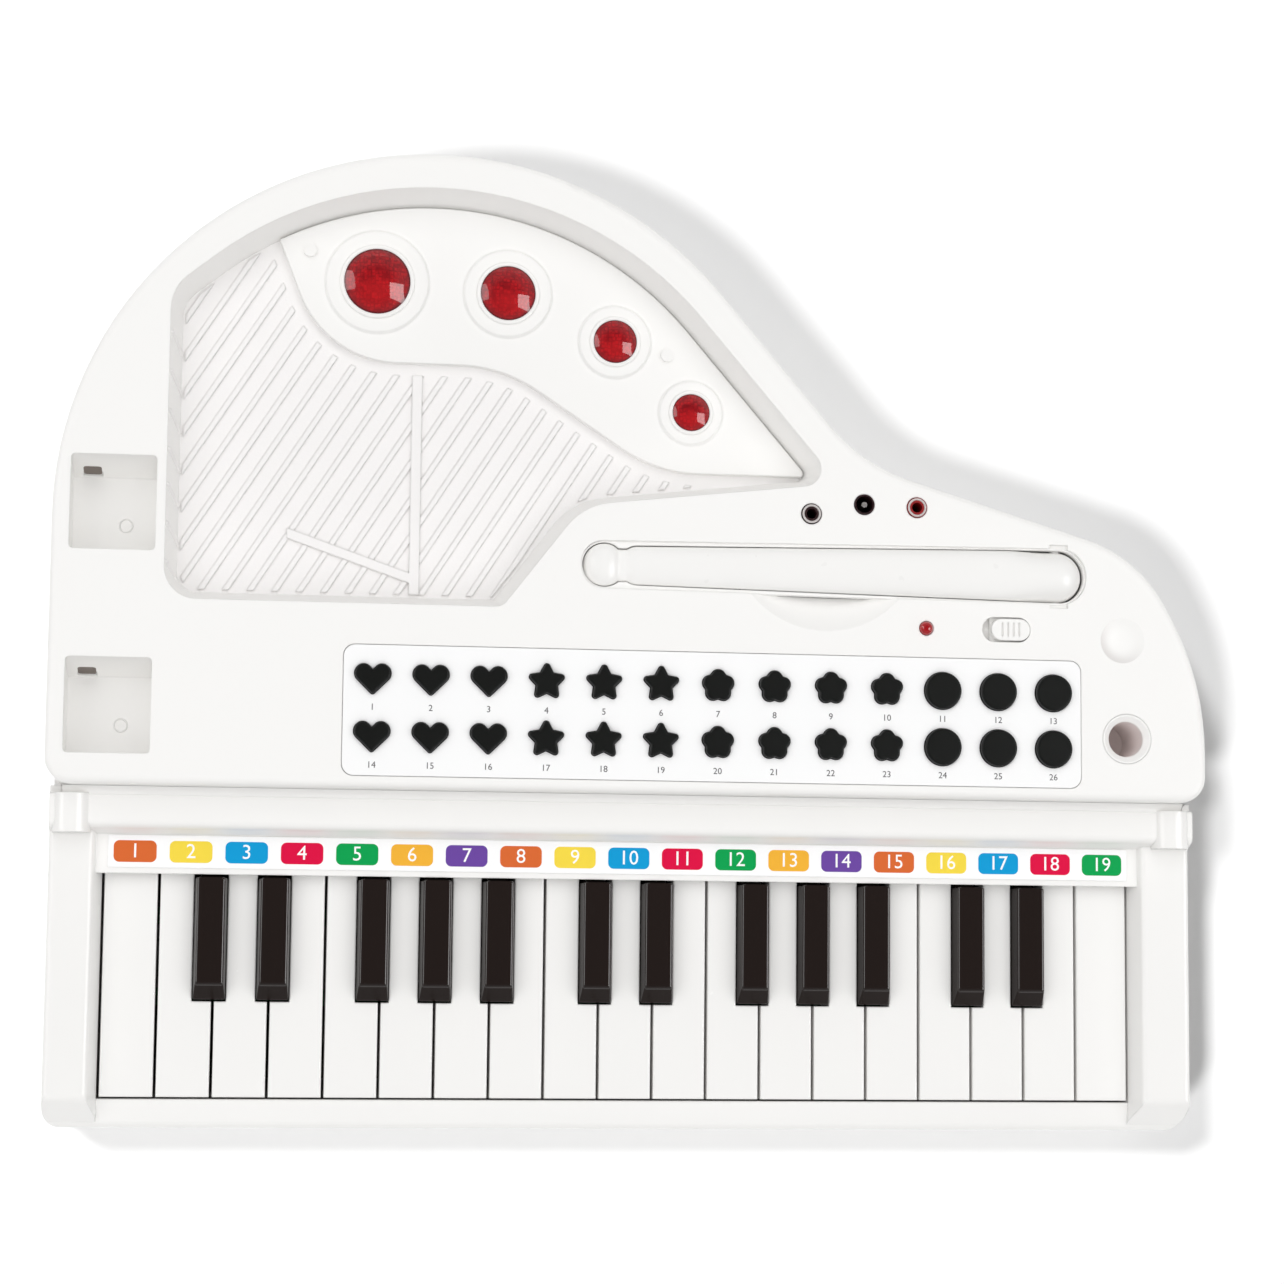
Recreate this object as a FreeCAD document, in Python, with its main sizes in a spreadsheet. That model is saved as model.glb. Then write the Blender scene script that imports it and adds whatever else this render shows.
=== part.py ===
import FreeCAD, Part
import math
import os
import Sketcher
from types import SimpleNamespace

# Driving sizes, in millimetres and degrees; each becomes a named cell of the sheet
SIZES = {
    # Case as a whole: plan outline of a small grand piano
    "keyboard_side_room": 20.5,
    "case_wall": 3.0,
    "parting_height": 22.0,
    "tail_angle": 49.4,
    "waist_from_right": 123.7,
    "waist_from_rear": 104.5,
    "shoulder_from_deck_front": 87.29,
    "waist_round": 62.0,
    "shoulder_angle": 16.7,
    "shoulder_from_right": 25.0,
    "shoulder_round": 47.0,
    "side_angle": 58.8,
    "side_round": 101.0,
    # Deck cover
    "deck_top": 62.0,
    "deck_plate": 2.5,
    "deck_edge_round": 3.0,
    "deck_corner_round": 9.0,
    # String well and its plate
    "well_depth": 15.0,
    "well_draft": 4.0,
    "well_wall": 2.5,
    "well_from_left": 38.0,
    "well_from_deck_front": 63.1,
    "well_rear_margin": 12.5,
    "well_rear_angle": 38.7,
    "well_slope_length": 19.25,
    "well_tip_back": 8.8,
    "well_tip_drop": 7.4,
    "well_step_from_tip": 89.7,
    "well_step_drop": 10.3,
    "well_step_run": 27.7,
    "well_front_round": 11.0,
    "well_toe_round": 5.0,
    "well_step_round": 22.0,
    "well_tip_round": 6.4,
    "well_left_round": 15.0,
    "string_plate_thickness": 2.5,
    "string_width": 2.2,
    "string_height": 0.9,
    "string_angle": 57.5,
    "string_pitch": 8.4,
    "string_clearance": 1.0,
    "string_end_gap": 4.0,
    "plate_bar_width": 3.5,
    "plate_bar_height": 1.5,
    "plate_bar_from_well_left": 83.6,
    "brace_from_bar": 42.4,
    "brace_low_from_well_front": 9.0,
    "brace_rise": 14.6,
    # Lamp panel, lenses and lamps
    "lamp_panel_thickness": 3.0,
    "lamp_panel_clearance": 0.3,
    "lamp_curve_left_from_well_left": 53.3,
    "lamp_curve_top_from_rear": 72.2,
    "lamp_curve_mid_from_well_left": 114.9,
    "lamp_curve_low_above_tip": 3.9,
    "lamp_curve_low_from_tip": 62.7,
    "lamp_curve_start_from_well_left": 24.5,
    "lamp_curve_left_round": 36.0,
    "lamp_curve_round": 50.0,
    "lamp_screw_radius": 1.0,
    "lamp_screw_head_radius": 2.2,
    "lamp_screw_head_height": 1.2,
    "lens_radius": 12.15,
    "lens_1_from_rim": 29.17,
    "lens_1_angle": -12.85,
    "lens_2_from_rim": 30.37,
    "lens_2_angle": 15.95,
    "lens_3_from_rim": 25.99,
    "lens_3_angle": 41.17,
    "lens_4_from_rim": 22.19,
    "lamp_screw_beside_lens_1": 23.5,
    "lamp_screw_behind_lens_1": 10.2,
    "lamp_screw_beside_lens_3": 18.6,
    "lamp_screw_before_lens_3": 4.1,
    "lens_rim": 1.5,
    "lens_wall": 1.6,
    "lens_ring_width": 2.6,
    "lens_ring_height": 1.0,
    "lens_ring_slope": 0.7,
    "lens_clearance": 0.2,
    "led_radius": 2.5,
    "led_flange_radius": 2.9,
    "led_flange": 1.0,
    "led_body": 6.4,
    "power_led_body": 2.0,
    "led_hole_clearance": 0.1,
    "lamp_hole_radius": 3.2,
    "lamp_board_margin": 9.0,
    "lamp_board_gap": 3.0,
    "power_led_from_right": 101.2,
    "power_led_from_deck_front": 59.3,
    "board_thickness": 1.6,
    # Hinge pockets for a lid
    "pocket_from_left": 6.0,
    "pocket_width": 28.8,
    "pocket_length": 32.4,
    "pocket_depth": 20.0,
    "pocket_wall": 2.5,
    "pocket_round": 1.5,
    "pocket_from_deck_front": 26.5,
    "pocket_pitch": 69.0,
    "pocket_slope": 5.0,
    "pocket_slot_length": 6.6,
    "pocket_slot_height": 4.0,
    "pocket_slot_margin": 3.5,
    "pocket_slot_rise": 0.8,
    # Stick that props the lid, with its groove and finger scoop
    "prop_pivot_from_right": 53.5,
    "prop_from_deck_front": 78.8,
    "prop_ball_from_step": 7.5,
    "prop_ball_radius": 7.3,
    "prop_thin_radius": 6.4,
    "prop_neck_radius": 5.4,
    "prop_neck_length": 4.4,
    "prop_thick_radius": 9.1,
    "prop_axis_drop": 6.0,
    "prop_side_gap": 0.9,
    "prop_notch_width": 6.6,
    "prop_notch_reach": 1.2,
    "prop_notch_depth": 1.5,
    "prop_floor_gap": 1.0,
    "prop_pin_radius": 2.0,
    "prop_pin_reach": 1.6,
    "prop_pin_end_gap": 0.1,
    "prop_pin_clearance": 0.05,
    "groove_wall": 2.5,
    "scoop_radius": 34.5,
    "scoop_ball_radius": 60.0,
    "scoop_from_prop_pivot": 83.5,
    "scoop_behind_prop": 13.2,
    # Dish and microphone stand socket
    "dish_from_right": 30.5,
    "dish_from_deck_front": 56.6,
    "dish_radius": 8.0,
    "dish_depth": 1.9,
    "stand_from_right": 29.1,
    "stand_from_deck_front": 21.9,
    "stand_bore_radius": 6.2,
    "stand_bore_depth": 26.0,
    "stand_flare_radius": 8.0,
    "stand_flare_depth": 1.6,
    "stand_wall": 2.5,
    "stand_fit": 0.1,
    # Sockets
    "dc_jack_from_right": 123.4,
    "dc_jack_above_prop": 23.5,
    "jack_pitch": 18.8,
    "jack_left_drop": 3.8,
    "jack_right_drop": 0.5,
    "jack_body_width": 8.0,
    "jack_body_depth": 13.0,
    "jack_collar_radius": 3.5,
    "jack_bore_radius": 1.8,
    "jack_proud": 0.4,
    "dc_bore_radius": 3.0,
    "dc_pin_radius": 1.0,
    "jack_floor": 1.5,
    # Slide switch
    "switch_from_right": 72.5,
    "switch_from_deck_front": 59.5,
    "switch_slot_length": 17.2,
    "switch_slot_width": 8.8,
    "slider_length": 13.8,
    "slider_width": 7.6,
    "slider_end_gap": 0.2,
    "slider_travel": 3.0,
    "slider_proud": 0.6,
    "slider_grip_pitch": 2.0,
    "slider_grip_depth": 0.5,
    "slider_grip_length": 4.8,
    "slider_foot_length": 5.0,
    "slider_foot_width": 3.0,
    "slider_foot_depth": 3.0,
    "slider_foot_gap": 0.3,
    "slider_flange_width": 9.6,
    "slider_flange": 1.0,
    "slider_flange_gap": 0.2,
    "switch_body_height": 8.0,
    "switch_body_margin": 1.4,
    # Button panel and buttons
    "panel_side_margin": 9.96,
    "panel_end_margin": 12.45,
    "panel_thickness": 1.2,
    "panel_round": 4.0,
    "panel_from_right": 45.8,
    "panel_front_gap": 4.3,
    "panel_ledge": 2.5,
    "panel_fit": 0.2,
    "button_pitch": 19.84,
    "button_row_pitch": 19.7,
    "button_row_shift": 1.0,
    "button_proud": 2.4,
    "button_round": 0.8,
    "button_clearance": 0.3,
    "heart_width": 11.9,
    "star_radius": 7.3,
    "flower_radius": 7.4,
    "round_button_radius": 6.4,
    "button_flange_radius": 6.9,
    "button_flange": 1.2,
    "button_flange_gap": 0.3,
    "button_stem_radius": 2.5,
    "button_stem": 4.0,
    "button_travel": 1.2,
    "button_stop_gap": 0.4,
    "button_board_reach": 5.5,
    "button_board_length": 39.0,
    "button_post_reach": 2.0,
    "button_post_pitch": 28.0,
    "button_board_post_radius": 3.0,
    # Keyboard frame: cheeks, key slip, strip ledge and fallboard bar
    "keyboard_shift": 1.25,
    "cheek_inset": 1.5,
    "cheek_top": 45.0,
    "cheek_round": 2.0,
    "cheek_slope": 3.0,
    "cheek_slope_drop": 9.0,
    "cheek_nose_height": 31.0,
    "cheek_nose_round": 4.0,
    "slip_top": 35.5,
    "slip_drop": 2.0,
    "slip_round": 3.0,
    "ledge_top": 42.0,
    "ledge_plate": 2.0,
    "ledge_depth": 13.4,
    "bar_front_slope": 2.4,
    "bar_depth": 11.0,
    "bar_top": 49.5,
    "bar_round": 3.0,
    "bar_groove_width": 2.5,
    "bar_groove_depth": 4.0,
    "bar_rear_round": 1.2,
    "bar_wall": 2.2,
    "block_width": 13.0,
    "block_rise": 3.0,
    "block_from_edge": 2.5,
    "strip_width": 11.0,
    "strip_thickness": 0.6,
    "strip_margin": 2.0,
    # Keys
    "key_pitch": 19.0,
    "key_gap": 1.0,
    "key_side_gap": 0.5,
    "key_top": 37.0,
    "key_bottom": 22.5,
    "key_front_from_case": 10.6,
    "key_front_gap": 0.7,
    "key_length": 75.7,
    "key_skin": 2.0,
    "key_wall": 1.6,
    "key_edge_round": 0.6,
    "key_pivot_from_deck_front": 7.1,
    "key_pivot_height": 30.0,
    "key_eye_radius": 4.1,
    "key_eye_inset": 1.2,
    "key_eye_length": 11.5,
    "key_bore_clearance": 0.05,
    "key_dip_angle": 3.2,
    "pusher_thickness": 3.0,
    "white_pusher_from_pivot": 55.0,
    "black_pusher_from_pivot": 45.0,
    "black_length": 41.4,
    "black_width": 10.4,
    "black_top_width": 8.3,
    "black_rise": 9.5,
    "black_front_slope": 5.2,
    "black_rear_gap": 1.0,
    "black_front_gap": 0.8,
    "black_side_gap": 0.6,
    "black_bottom": 24.0,
    "black_edge_round": 0.9,
    "black_pair_shift": 1.3,
    "black_triple_shift": 2.6,
    # Key action under the keys
    "pivot_rod_radius": 1.5,
    "rod_end_gap": 0.2,
    "bed_height": 9.0,
    "bed_plate": 2.0,
    "bed_rear_margin": 1.1,
    "bed_front_margin": 8.0,
    "bed_post_inset": 10.0,
    "bed_post_radius": 4.0,
    "bed_end_gap": 0.5,
    "stop_rail_depth": 6.0,
    "stop_rail_gap": 0.35,
    "saddle_thickness": 2.0,
    "saddle_depth": 12.0,
    "saddle_above_rod": 4.0,
    "saddle_clearance": 0.1,
    "contact_board_length": 34.0,
    "contact_board_gap": 4.0,
    "rubber_margin": 6.0,
    "rubber_sheet": 1.0,
    "rubber_dome_radius": 3.6,
    "rubber_dome_tip": 2.4,
    "rubber_gap": 0.4,
    # Bottom shell
    "base_inset": 1.5,
    "base_wall": 2.5,
    "foot_height": 2.0,
    "base_plate": 2.5,
    "front_corner_round": 6.0,
    "foot_radius": 7.0,
    "foot_seat": 1.0,
    "foot_from_side": 30.0,
    "foot_from_front": 24.0,
    "foot_from_rear": 50.0,
    "rear_foot_spread": 55.0,
    "side_foot_from_right": 45.0,
    "side_foot_from_deck_front": 55.0,
    "foot_clearance": 0.1,
    # Case screws and their posts
    "screw_radius": 1.5,
    "screw_head_radius": 3.0,
    "screw_head_height": 2.0,
    "screw_seat": 17.0,
    "screw_length": 17.0,
    "screw_clearance": 0.1,
    "screw_head_clearance": 0.4,
    "post_radius": 4.5,
    "boss_radius": 4.0,
    "screw_from_left": 19.5,
    "screw_from_right": 16.5,
    "screw_inner_from_left": 71.5,
    "screw_mid_from_deck_front": 61.0,
    "screw_rear_from_deck_front": 128.0,
    "screw_right_from_deck_front": 41.0,
    "screw_inner_from_deck_front": 23.0,
    "cheek_screw_from_side": 10.5,
    "cheek_screw_from_front": 18.5,
    # Batteries, speaker and main board
    "battery_x": -20.0,
    "battery_y": -5.0,
    "battery_width": 74.0,
    "battery_length": 66.0,
    "battery_wall": 2.0,
    "battery_door_gap": 0.3,
    "battery_door_ledge": 1.5,
    "battery_grip_length": 24.0,
    "battery_grip_width": 5.0,
    "battery_grip_depth": 0.8,
    "speaker_x": -75.0,
    "speaker_y": 80.0,
    "speaker_radius": 33.0,
    "speaker_rim": 2.5,
    "speaker_neck_radius": 17.0,
    "speaker_cone_height": 11.0,
    "speaker_height": 19.0,
    "grille_slot_width": 3.0,
    "grille_slot_pitch": 7.0,
    "main_board_x": 95.0,
    "main_board_y": 2.0,
    "main_board_width": 100.0,
    "main_board_length": 56.0,
    "main_board_height": 11.0,
    "main_board_post_inset": 6.0,
    "main_board_post_radius": 3.0,
    # Reach of cutters past a face
    "overrun": 1.0,
}

# Shapes of the button heads, as shares of their own width or radius
HEART_SHARES = ((0.0, -0.47, 0.06), (0.63, 0.15, 0.25), (0.25, 0.49, 0.22), (0.0, 0.23, 0.05))
STAR_SHARES = (0.52, 0.13, 0.09)
FLOWER_SHARES = (0.606, 0.333, 0.06)
BUTTON_COLUMNS = "HHHSSSFFFFRRR"
BUTTON_ROWS = (1, -1)
PETALS = 5
BLOCK_ROUND_SHARE = 0.48
STADIUM_SHARE = 0.49
GRIP_STEPS = (-1.5, -0.5, 0.5, 1.5)

# Lens places as shares of the well's width and of its height above the well front; radii as shares
LAST_LENS_SHARE = 0.591
LENS_RADIUS_SHARES = (1.0, 0.84, 0.667, 0.576)
LENS_DOME_SHARE = 0.33
LENS_RING_SHARE = 0.3

# Notes of the white keys from left to right; a black key follows each C, D, F, G and A but the last
WHITE_NOTES = "BCDEFGABCDEFGABCDEF"
BLACK_FOLLOWS = "CDFGA"
SADDLE_GAPS = (1, 4, 8, 11, 15, 18)
BED_POST_SHARES = (-0.45, -0.15, 0.15, 0.45)
GRILLE_ROWS = (-3, -2, -1, 0, 1, 2, 3)
RIGHT_ANGLE = 90

doc = FreeCAD.newDocument("ToyPiano")
sheet = doc.addObject("Spreadsheet::Sheet", "Sizes")
for row, (alias, number) in enumerate(SIZES.items(), 1):
    sheet.set(f"A{row}", alias)
    sheet.set(f"B{row}", str(number))
    sheet.setAlias(f"B{row}", alias)
doc.recompute()


class Size:
    """A length or angle as arithmetic on the sheet: text for an expression and its value today."""

    def __init__(self, text, value):
        self.text = text
        self.value = value

    def join(self, sign, first, second, value):
        return Size(f"({first.text} {sign} {second.text})", value)

    def __add__(self, other):
        other = as_size(other)
        return self.join("+", self, other, self.value + other.value)

    def __radd__(self, other):
        return as_size(other) + self

    def __sub__(self, other):
        other = as_size(other)
        return self.join("-", self, other, self.value - other.value)

    def __rsub__(self, other):
        return as_size(other) - self

    def __mul__(self, other):
        other = as_size(other)
        return self.join("*", self, other, self.value * other.value)

    def __rmul__(self, other):
        return as_size(other) * self

    def __truediv__(self, other):
        other = as_size(other)
        return self.join("/", self, other, self.value / other.value)

    def __neg__(self):
        return 0 - self


def as_size(number):
    """A plain number becomes a Size; a negative one is bracketed for the expression."""
    if isinstance(number, Size):
        return number
    return Size(f"({number!r})" if number < 0 else repr(number), number)


def trig(name, angle):
    """Sine, cosine or tangent of an angle in degrees."""
    return Size(f"{name}({angle.text} * 1 deg)", getattr(math, name)(math.radians(angle.value)))


def root(size):
    """Square root of a size."""
    return Size(f"sqrt({size.text})", math.sqrt(size.value))


s = SimpleNamespace(**{alias: Size(f"Sizes.{alias}", number) for alias, number in SIZES.items()})
nodes = []

# Turns that lay a sketch in an upright plane, or a round bar along an axis
SKETCH_TURNS = {
    "XY": FreeCAD.Rotation(),
    "XZ": FreeCAD.Rotation(FreeCAD.Vector(1, 0, 0), RIGHT_ANGLE),
    "YZ": FreeCAD.Rotation(FreeCAD.Vector(1, 1, 1), 120),
}
BAR_TURNS = {
    "z": FreeCAD.Rotation(),
    "x": FreeCAD.Rotation(FreeCAD.Vector(0, 1, 0), RIGHT_ANGLE),
    "y": FreeCAD.Rotation(FreeCAD.Vector(1, 0, 0), -RIGHT_ANGLE),
}


# Building blocks
def bind(thing, prop, size):
    thing.setExpression(prop, as_size(size).text)


def place(thing, x, y, z):
    for axis, size in (("x", x), ("y", y), ("z", z)):
        bind(thing, f"Placement.Base.{axis}", size)


def node(thing, name):
    """Gives a finished piece the name that its file carries."""
    thing.Label = name
    nodes.append(thing)
    return thing


def box(x, y, z):
    """Block between (low, high) pairs along the three axes."""
    block = doc.addObject("Part::Box", "Block")
    for prop, (low, high) in (("Length", x), ("Width", y), ("Height", z)):
        bind(block, prop, high - low)
    place(block, x[0], y[0], z[0])
    return block


def bar(radius, x, y, z, length, axis="z"):
    """Round bar from a point along an axis."""
    solid = doc.addObject("Part::Cylinder", "Bar")
    solid.Placement.Rotation = BAR_TURNS[axis]
    bind(solid, "Radius", radius)
    bind(solid, "Height", length)
    place(solid, x, y, z)
    return solid


def cone(low_radius, high_radius, x, y, z, length, axis="z"):
    """Round bar that tapers along an axis."""
    solid = doc.addObject("Part::Cone", "Taper")
    solid.Placement.Rotation = BAR_TURNS[axis]
    bind(solid, "Radius1", low_radius)
    bind(solid, "Radius2", high_radius)
    bind(solid, "Height", length)
    place(solid, x, y, z)
    return solid


def ball(radius, x, y, z):
    solid = doc.addObject("Part::Sphere", "Ball")
    bind(solid, "Radius", radius)
    place(solid, x, y, z)
    return solid


def fuse(*pieces):
    solid = doc.addObject("Part::MultiFuse", "Joined")
    solid.Shapes = list(pieces)
    return solid


def cut(base, *tools):
    solid = doc.addObject("Part::Cut", "Cut")
    solid.Base = base
    solid.Tool = tools[0] if len(tools) == 1 else fuse(*tools)
    return solid


def common(first, second):
    solid = doc.addObject("Part::Common", "Shared")
    solid.Base = first
    solid.Tool = second
    return solid


def group(*pieces):
    """Separate solids kept together in one node."""
    solids = doc.addObject("Part::Compound", "Group")
    solids.Links = list(pieces)
    return solids


def sketch_in(plane, x=0, y=0, z=0):
    sketch = doc.addObject("Sketcher::SketchObject", "Outline")
    sketch.Placement.Rotation = SKETCH_TURNS[plane]
    place(sketch, x, y, z)
    return sketch


def hold_point(rules, texts, geometry, point, a, b):
    """Two distances from the sketch's origin that hold a point."""
    for kind, size in (("DistanceX", a), ("DistanceY", b)):
        texts[len(rules)] = size.text
        rules.append(Sketcher.Constraint(kind, -1, 1, geometry, point, size.value))


def apply_rules(sketch, rules, texts):
    first = sketch.ConstraintCount
    sketch.addConstraint(rules)
    for number, text in texts.items():
        sketch.setExpression(f"Constraints[{first + number}]", text)


def ring(sketch, a, b, radius):
    """Circle held by its centre and radius."""
    a, b, radius = as_size(a), as_size(b), as_size(radius)
    centre = FreeCAD.Vector(a.value, b.value, 0)
    circle = sketch.addGeometry(Part.Circle(centre, FreeCAD.Vector(0, 0, 1), radius.value), False)
    rules, texts = [Sketcher.Constraint("Radius", circle, radius.value)], {0: radius.text}
    hold_point(rules, texts, circle, 3, a, b)
    apply_rules(sketch, rules, texts)


def outline(sketch, corners):
    """Closed run of straight sides; a corner is (a, b), or (a, b, radius) where an arc rounds it."""
    corners = [tuple(as_size(part) for part in corner) for corner in corners]
    count = len(corners)
    points = [FreeCAD.Vector(corner[0].value, corner[1].value, 0) for corner in corners]
    arrive, leave, arcs = [], [], []
    for i, corner in enumerate(corners):
        back = (points[i - 1] - points[i]).normalize()
        ahead = (points[(i + 1) % count] - points[i]).normalize()
        half = back.getAngle(ahead) / 2
        radius = corner[2].value if len(corner) > 2 else 0
        arrive.append(points[i] + back * (radius / math.tan(half)))
        leave.append(points[i] + ahead * (radius / math.tan(half)))
        arcs.append(corner_arc(points[i], back, ahead, radius, half) if radius else None)
    sides = [sketch.addGeometry(Part.LineSegment(leave[i], arrive[(i + 1) % count]), False)
             for i in range(count)]
    rules, texts = [], {}
    for i, corner in enumerate(corners):
        before, after = sides[i - 1], sides[i]
        if arcs[i] is None:
            rules.append(Sketcher.Constraint("Coincident", before, 2, after, 1))
            hold_point(rules, texts, after, 1, corner[0], corner[1])
            continue
        arc, arc_first = arcs[i]
        curve = sketch.addGeometry(arc, False)
        tip = sketch.addGeometry(Part.Point(points[i]), True)
        rules.append(Sketcher.Constraint("Tangent", before, 2, curve, arc_first))
        rules.append(Sketcher.Constraint("Tangent", after, 1, curve, 3 - arc_first))
        texts[len(rules)] = corner[2].text
        rules.append(Sketcher.Constraint("Radius", curve, corner[2].value))
        rules.append(Sketcher.Constraint("PointOnObject", tip, 1, before))
        rules.append(Sketcher.Constraint("PointOnObject", tip, 1, after))
        hold_point(rules, texts, tip, 1, corner[0], corner[1])
    apply_rules(sketch, rules, texts)


def corner_arc(point, back, ahead, radius, half):
    """Arc that rounds a corner, and which of its ends the side before the corner meets."""
    centre = point + (back + ahead).normalize() * (radius / math.sin(half))
    start = point + back * (radius / math.tan(half)) - centre
    end = point + ahead * (radius / math.tan(half)) - centre
    left_turn = (back.cross(ahead)).z < 0
    first, last = (start, end) if left_turn else (end, start)
    circle = Part.Circle(centre, FreeCAD.Vector(0, 0, 1), radius)
    first_angle = math.atan2(first.y, first.x)
    last_angle = math.atan2(last.y, last.x)
    if last_angle < first_angle:
        last_angle += 2 * math.pi
    return Part.ArcOfCircle(circle, first_angle, last_angle), 1 if left_turn else 2


def extrude(profile, length):
    """Solid carried straight out of a profile's plane."""
    solid = doc.addObject("Part::Extrusion", "Prism")
    solid.Base = profile
    solid.DirMode = "Normal"
    solid.Solid = True
    bind(solid, "LengthFwd", length)
    return solid


def plan(corners, z):
    """Level outline at a height."""
    sketch = sketch_in("XY", z=z)
    outline(sketch, corners)
    return sketch


def prism(corners, low, high):
    """Upright block of a level outline."""
    return extrude(plan(corners, low), high - low)


def across(corners, low, high):
    """Side profile of (depth, height) corners, carried from left to right."""
    sketch = sketch_in("YZ", x=low)
    outline(sketch, corners)
    return extrude(sketch, high - low)


def along(corners, low, high):
    """Front profile of (width, height) corners, carried from front to rear."""
    sketch = sketch_in("XZ", y=high)
    outline(sketch, corners)
    return extrude(sketch, high - low)


def inset(profile, distance):
    """Outline moved inwards by a distance, or outwards by a negative one."""
    moved = doc.addObject("Part::Offset2D", "Inset")
    moved.Source = profile
    moved.Join = "Intersection"
    bind(moved, "Value", -distance)
    return moved


def turned(corners, x, y):
    """Solid of revolution about the upright axis through (x, y); corners are (radius, height)."""
    sketch = sketch_in("XZ", x, y)
    outline(sketch, corners)
    solid = doc.addObject("Part::Revolution", "Turned")
    solid.Source = sketch
    solid.Axis = FreeCAD.Vector(0, 0, 1)
    solid.Solid = True
    bind(solid, "Base.x", x)
    bind(solid, "Base.y", y)
    return solid


def rectangle(x, y, radius=None):
    """Corners of a level rectangle between (low, high) pairs."""
    corners = [(x[0], y[0]), (x[1], y[0]), (x[1], y[1]), (x[0], y[1])]
    return corners if radius is None else [corner + (radius,) for corner in corners]


def middle(centre, width):
    """(low, high) pair about a centre."""
    return centre - width / 2, centre + width / 2


# Places that several pieces share
key_count = len(WHITE_NOTES)
key_span = s.key_pitch * key_count
case_width = key_span + (s.key_side_gap + s.keyboard_side_room) * 2
left = -case_width / 2
right = case_width / 2
waist_x = right - s.waist_from_right
shoulder_x = right - s.shoulder_from_right
waist_rise = (shoulder_x - waist_x) * trig("tan", s.shoulder_angle)
keyboard_depth = (s.key_front_from_case + s.key_length + s.ledge_depth + s.bar_front_slope + s.bar_depth
                  + s.bar_groove_width)
case_depth = keyboard_depth + s.shoulder_from_deck_front + waist_rise + s.waist_from_rear
front = -case_depth / 2
rear = case_depth / 2
deck_front = front + keyboard_depth
deck_under = s.deck_top - s.deck_plate
floor_top = s.foot_height + s.base_plate

waist_y = rear - s.waist_from_rear
tail_sine = trig("sin", s.tail_angle)
tail_cosine = trig("cos", s.tail_angle)
tail_radius = (tail_sine * (waist_x - left) - tail_cosine * s.waist_from_rear) / (
    1 + tail_sine - tail_cosine)
tail_corner_y = rear - tail_radius + tail_radius * trig("tan", (RIGHT_ANGLE + s.tail_angle) / 2)
shoulder_y = waist_y - waist_rise
side_y = shoulder_y - s.shoulder_from_right * trig("tan", s.side_angle)
REAR_CORNERS = [
    (right, side_y, s.side_round),
    (shoulder_x, shoulder_y, s.shoulder_round),
    (waist_x, waist_y, s.waist_round),
    (left, tail_corner_y, tail_radius),
]

keyboard_x = -s.keyboard_shift
keyboard_left = keyboard_x - key_span / 2 - s.key_side_gap
keyboard_right = keyboard_x + key_span / 2 + s.key_side_gap
key_front = front + s.key_front_from_case
key_rear = key_front + s.key_length
pivot_y = deck_front - s.key_pivot_from_deck_front

well_left = left + s.well_from_left
well_front = deck_front + s.well_from_deck_front
well_rear = rear - s.well_rear_margin
well_floor = s.deck_top - s.well_depth
tip_x = waist_x - s.well_tip_back
tip_y = waist_y - s.well_tip_drop
step_x = tip_x - s.well_step_from_tip
step_y = tip_y - s.well_step_drop
toe_x = step_x - s.well_step_run
well_width = tip_x - well_left
well_height = well_rear - well_front
lamp_top = well_floor + s.lamp_panel_thickness
lamp_board_top = well_floor - s.string_plate_thickness - s.lamp_board_gap

prop_x = right - s.prop_pivot_from_right
prop_y = deck_front + s.prop_from_deck_front
prop_z = s.deck_top - s.prop_axis_drop

panel_width = s.button_pitch * (len(BUTTON_COLUMNS) - 1) + s.panel_side_margin * 2
panel_x = right - s.panel_from_right - panel_width / 2
panel_length = s.button_row_pitch + s.panel_end_margin * 2
panel_y = deck_front + s.panel_front_gap + panel_length / 2
stand_x = right - s.stand_from_right
stand_y = deck_front + s.stand_from_deck_front
switch_x = right - s.switch_from_right
switch_y = deck_front + s.switch_from_deck_front
dc_x = right - s.dc_jack_from_right
dc_y = prop_y + s.dc_jack_above_prop
AUDIO_JACKS = [
    (dc_x - s.jack_pitch, dc_y - s.jack_left_drop),
    (dc_x + s.jack_pitch, dc_y - s.jack_right_drop),
]
power_led_x = right - s.power_led_from_right
power_led_y = deck_front + s.power_led_from_deck_front

# Rim of the string well: its rear arc touches the rear margin and both straight sides beside it
rear_sine = trig("sin", s.well_rear_angle)
rear_cosine = trig("cos", s.well_rear_angle)
well_round = (tail_sine * (well_width - s.well_slope_length * rear_cosine)
              - tail_cosine * (well_rear - tip_y)) / (1 - tail_cosine + tail_sine * rear_sine)
arc_x = well_left + s.well_slope_length * rear_cosine + well_round * rear_sine
arc_y = well_rear - well_round
slope_y = well_rear - well_round * (1 - rear_cosine) - s.well_slope_length * rear_sine


def under_rim(angle, margin):
    """Point at an angle on the well's rear arc, moved in from its rim."""
    reach = well_round - margin
    return arc_x + reach * trig("sin", angle), arc_y + reach * trig("cos", angle)


lens_places = [under_rim(s.lens_1_angle, s.lens_1_from_rim), under_rim(s.lens_2_angle, s.lens_2_from_rim),
               under_rim(s.lens_3_angle, s.lens_3_from_rim)]
first_x, first_y = lens_places[0]
third_x, third_y = lens_places[-1]
last_back = ((tip_x - third_x) * tail_cosine + (third_y - tip_y) * tail_sine) * LAST_LENS_SHARE
lens_places.append((tip_x - last_back * tail_cosine - s.lens_4_from_rim * tail_sine,
                    tip_y + last_back * tail_sine - s.lens_4_from_rim * tail_cosine))
lenses = [(x, y, s.lens_radius * share) for (x, y), share in zip(lens_places, LENS_RADIUS_SHARES)]
lamp_screws = [
    (first_x - s.lamp_screw_beside_lens_1, first_y + s.lamp_screw_behind_lens_1),
    (third_x + s.lamp_screw_beside_lens_3, third_y - s.lamp_screw_before_lens_3),
]
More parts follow.
